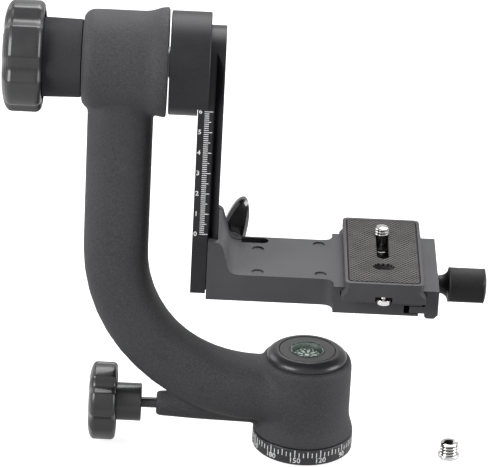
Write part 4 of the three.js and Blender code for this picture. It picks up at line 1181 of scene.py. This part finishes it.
def blacken(piece, middle, reach, low, high):
    """Painted shade: dark metal on faces near a piece's upright axis between two heights, as in
    grooves and bores.
    """
    if len(piece.data.materials) == 1:
        piece.data.materials.append(BLACKENED)
    for polygon in piece.data.polygons:
        corners = [piece.data.vertices[i].co - middle for i in polygon.vertices]
        farthest = max(math.hypot(corner.x, corner.y) for corner in corners)
        if farthest < reach and low < polygon.center.z < high:
            polygon.material_index = 1


def head(radius, height, edge):
    """A round head's profile with broken edges, from its foot up."""
    return [(radius - edge, 0), (radius, edge), (radius, height - edge), (radius - edge, height)]


# Painted shade: thread faces deeper than this below the crest take dark metal.
SHADE_BELOW_CREST = 0.3 * MM
print("a thread's root starts", round(SHADE_BELOW_CREST / MM, 1), "mm below its crest")

# %% Camera screw
THREAD_RADIUS = 3.175 * MM
THREAD_PITCH = 1.27 * MM
THREAD_DEPTH = 0.62 * MM
THREAD_LENGTH = 3.5 * MM
THREAD_ROWS = 26
TIP = 0.5 * MM
THREAD_END = 0.45 * MM
SHANK_RADIUS = 2.5 * MM
HEAD_HEIGHT = 2.8 * MM
HEAD_BREAK = 0.3 * MM
screw_low, screw_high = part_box("camera_screw")
screw_middle = (screw_low + screw_high) / 2
screw_length = screw_high.z - screw_low.z
head_radius = (screw_high.x - screw_low.x) / 2
thread_low = screw_length - THREAD_LENGTH
screw_profile = [
    (0, 0),
    *head(head_radius, HEAD_HEIGHT, HEAD_BREAK),
    (SHANK_RADIUS, HEAD_HEIGHT),
    (SHANK_RADIUS, thread_low - 0.1 * MM),
    *[(THREAD_RADIUS, thread_low + up) for up in even_steps(THREAD_LENGTH - TIP, THREAD_ROWS)],
    (THREAD_RADIUS - TIP, screw_length),
    (0, screw_length),
]
screw_bm = threaded(
    screw_profile, Vector((screw_middle.x, screw_middle.y, screw_low.z)),
    thread_low, screw_length - THREAD_END, THREAD_RADIUS, THREAD_PITCH, THREAD_DEPTH,
)
screw = keep(
    "camera_screw_threaded", screw_bm, CHROME, "camera_screw", ("camera_screw",), "chrome", 70
)
# Painted shade in the screw's thread grooves.
blacken(
    screw, screw_middle, THREAD_RADIUS - SHADE_BELOW_CREST,
    screw_low.z + thread_low, screw_high.z - THREAD_END,
)
print("camera screw:", len(screw.data.polygons), "faces")

# %% [markdown]
# ## The loose adapter
# Beside the base stands a bushing that fits a small screw into the large socket: a flange below,
# a coarse thread outside and a slot across the top for a coin. It is spun and threaded like the
# screw. Its slot crosses the thread, so it is sawn out last, as on a real one.

# %% Adapter with its thread
ADAPTER_WALL = 4.2 * MM
ADAPTER_BORE = 2.6 * MM
ADAPTER_PITCH = 1.5 * MM
ADAPTER_DEPTH = 0.55 * MM
ADAPTER_ROWS = 48
BORE_ROWS = 12
FLANGE_HEIGHT = 1.6 * MM
FLANGE_BREAK = 0.25 * MM
RUN_OUT = 0.3 * MM
adapter_low, adapter_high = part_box("thread_adapter")
adapter_middle = (adapter_low + adapter_high) / 2
adapter_height = adapter_high.z - adapter_low.z
adapter_flange = (adapter_high.x - adapter_low.x) / 2
thread_foot = FLANGE_HEIGHT + RUN_OUT
threaded_height = adapter_height - RUN_OUT - thread_foot
adapter_profile = [
    (ADAPTER_BORE, 0),
    *head(adapter_flange, FLANGE_HEIGHT, FLANGE_BREAK),
    (ADAPTER_WALL - 0.5 * MM, FLANGE_HEIGHT + 0.02 * MM),
    *[(ADAPTER_WALL, thread_foot + up) for up in even_steps(threaded_height, ADAPTER_ROWS)],
    (ADAPTER_WALL - RUN_OUT, adapter_height),
    *[(ADAPTER_BORE, up) for up in reversed(even_steps(adapter_height, BORE_ROWS))],
]
adapter_bm = threaded(
    adapter_profile, Vector((adapter_middle.x, adapter_middle.y, adapter_low.z)),
    thread_foot, adapter_height - RUN_OUT, ADAPTER_WALL, ADAPTER_PITCH, ADAPTER_DEPTH,
    SPIN_STEPS,
)
adapter = keep("adapter_threaded", adapter_bm, CHROME, "base", ("thread_adapter",), "chrome", 60)
print("adapter:", len(adapter.data.polygons), "faces before its slot")

# %% Saw the adapter's slot
SLOT_TURN = 28
SLOT_WIDTH = 1.5 * MM
SLOT_DEPTH = 1.4 * MM
adapter_top = Vector((adapter_middle.x, adapter_middle.y, adapter_high.z))
cut_away(adapter, slab(adapter_top, (4 * adapter_flange, SLOT_WIDTH, 2 * SLOT_DEPTH), SLOT_TURN))
# Painted shade inside the adapter's bore.
blacken(
    adapter, adapter_middle, ADAPTER_BORE + 0.05 * MM, adapter_low.z - MM, adapter_high.z + MM
)
# Painted shade in the adapter's thread grooves.
blacken(
    adapter, adapter_middle, ADAPTER_WALL - SHADE_BELOW_CREST,
    adapter_low.z + FLANGE_HEIGHT + 0.1 * MM, adapter_high.z - RUN_OUT,
)
print("adapter:", len(adapter.data.polygons), "faces")

# %% [markdown]
# ## Sockets
# The rail's screws, the screws of the spindle's flange and the stop screws are turned by a
# hexagonal key. A cone tool of six sides and equal ends is a hexagonal prism, and a Boolean sinks
# it into each head.

# %% Sockets of the screws
def hexagon(middle, across, depth, axis):
    """A hexagonal tool for a socket, along X or Z."""
    bm = bmesh.new()
    radius = across / math.sqrt(3)
    bmesh.ops.create_cone(
        bm, cap_ends=True, segments=6, radius1=radius, radius2=radius, depth=depth
    )
    lay(bm, axis, middle)
    return bm


LARGE_KEY = 3 * MM
SMALL_KEY = 2 * MM
SOCKETS = [
    ("rail_screw_1", STEEL, 0.25, "x"),
    ("rail_screw_2", STEEL, 0.25, "x"),
    ("flange_screw_1", STEEL, 0.12, "z"),
    ("flange_screw_2", STEEL, 0.12, "z"),
    ("flange_screw_3", STEEL, 0.12, "z"),
    ("stop_screw_1", CHROME, 0.4, "z"),
    ("stop_screw_2", CHROME, 0.4, "z"),
]
for node, material, edge, axis in SOCKETS:
    low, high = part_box(node)
    middle = (low + high) / 2
    if axis == "x":
        socket = hexagon(Vector((high.x, middle.y, middle.z)), LARGE_KEY, 4 * MM, axis)
    else:
        socket = hexagon(Vector((middle.x, middle.y, low.z)), SMALL_KEY, 2 * MM, axis)
    softened(node, material, edge * MM, [socket])
print("sockets:", len(SOCKETS))

# %% [markdown]
# ## The bar knob
# Behind the upright an oval bar locks the bracket on its rail. It is a smooth paddle, polished
# black, with a generous round on both long edges. A wide bevel of the solid's copy gives that
# round and keeps the oval outline.

# %% Oval bar
bar = keep("bar_knob", merged("lock_knob"), BAR, "bar_lock", ("lock_knob",), "gloss_black", 50)
soften(bar, 1.4 * MM, 4, 28)
print("bar:", len(bar.data.polygons), "faces before its bevel")

# %% [markdown]
# ## The room
# The photograph was taken in a white tent. The floor is white and shows white to the camera,
# yet still darkens where the object keeps light off it. The room that polished metal mirrors is
# the same white. The lamps are five wide panels: a strong one overhead, one at each side, one
# behind and a weak one in front, so that upper faces are light, fronts are dark and round sides
# get a sheen.

# %% White floor
FLOOR_REACH = 1.6
floor_bm = bmesh.new()
bmesh.ops.create_circle(floor_bm, cap_ends=True, segments=64, radius=FLOOR_REACH)
bmesh.ops.translate(floor_bm, vec=(0, 0, CAD_BOX[0].z), verts=floor_bm.verts)
floor = add_object("floor", mesh_of("floor", floor_bm))


def white_floor():
    finish = Finish("white_floor")
    shown = finish.ray("Camera").larger(finish.ray("Transmission"))
    speckle = finish.noise(0.2, 1.0)
    tone = finish.ramp(speckle, (0.2, (0.48, 0.48, 0.48)), (0.8, (0.52, 0.52, 0.52)))
    return finish.surface(
        Base_Color=tone, Roughness=0.9, Emission_Color=(1, 1, 1, 1),
        Emission_Strength=shown * 0.85 + finish.ray("Glossy") * 0.35, Specular_IOR_Level=0.0,
    )


floor.data.materials.append(white_floor())
print("floor reaches", FLOOR_REACH, "m at height", round(CAD_BOX[0].z / MM, 1), "mm")

# %% White world
AMBIENT = 0.1
MIRRORED = 0.65
world = bpy.data.worlds.new("tent")
bpy.context.scene.world = world
tent = Finish("tent", world)
brightness = (
    tent.ray("Camera") * (1 - AMBIENT) + tent.ray("Glossy") * (MIRRORED - AMBIENT) + AMBIENT
)
tent.surface("ShaderNodeBackground", Color=(1, 1, 1, 1), Strength=brightness)
print("world:", len(world.node_tree.nodes), "nodes")

# %% Soft panels
MIDDLE = (CAD_BOX[0] + CAD_BOX[1]) / 2
PANELS = [
    ("overhead", (0.1, 0.45, 0.85), (0.7, 0.7), 8.5),
    ("back", (-0.9, 0.65, 0.65), (0.6, 0.6), 3),
    ("front", (0.25, -1.3, 0.7), (0.9, 0.9), 0.5),
    ("left", (-0.52, -0.35, 0.46), (0.4, 0.4), 4.8),
    ("right", (1.2, -0.15, 0.5), (0.7, 0.9), 13),
]
for name, place, size, power in PANELS:
    light = bpy.data.lights.new(name, "AREA")
    light.shape = "RECTANGLE"
    light.size, light.size_y = size
    light.energy = power
    lamp = add_object(name, light)
    facing = (Vector(place) - MIDDLE).to_track_quat("Z", "Y").to_matrix().to_4x4()
    lamp.matrix_world = Matrix.Translation(place) @ facing

# %% [markdown]
# ## Settings
# The picture is shown as the shaders wrote it.

# %% Finish
bpy.context.scene.view_settings.view_transform = "Standard"
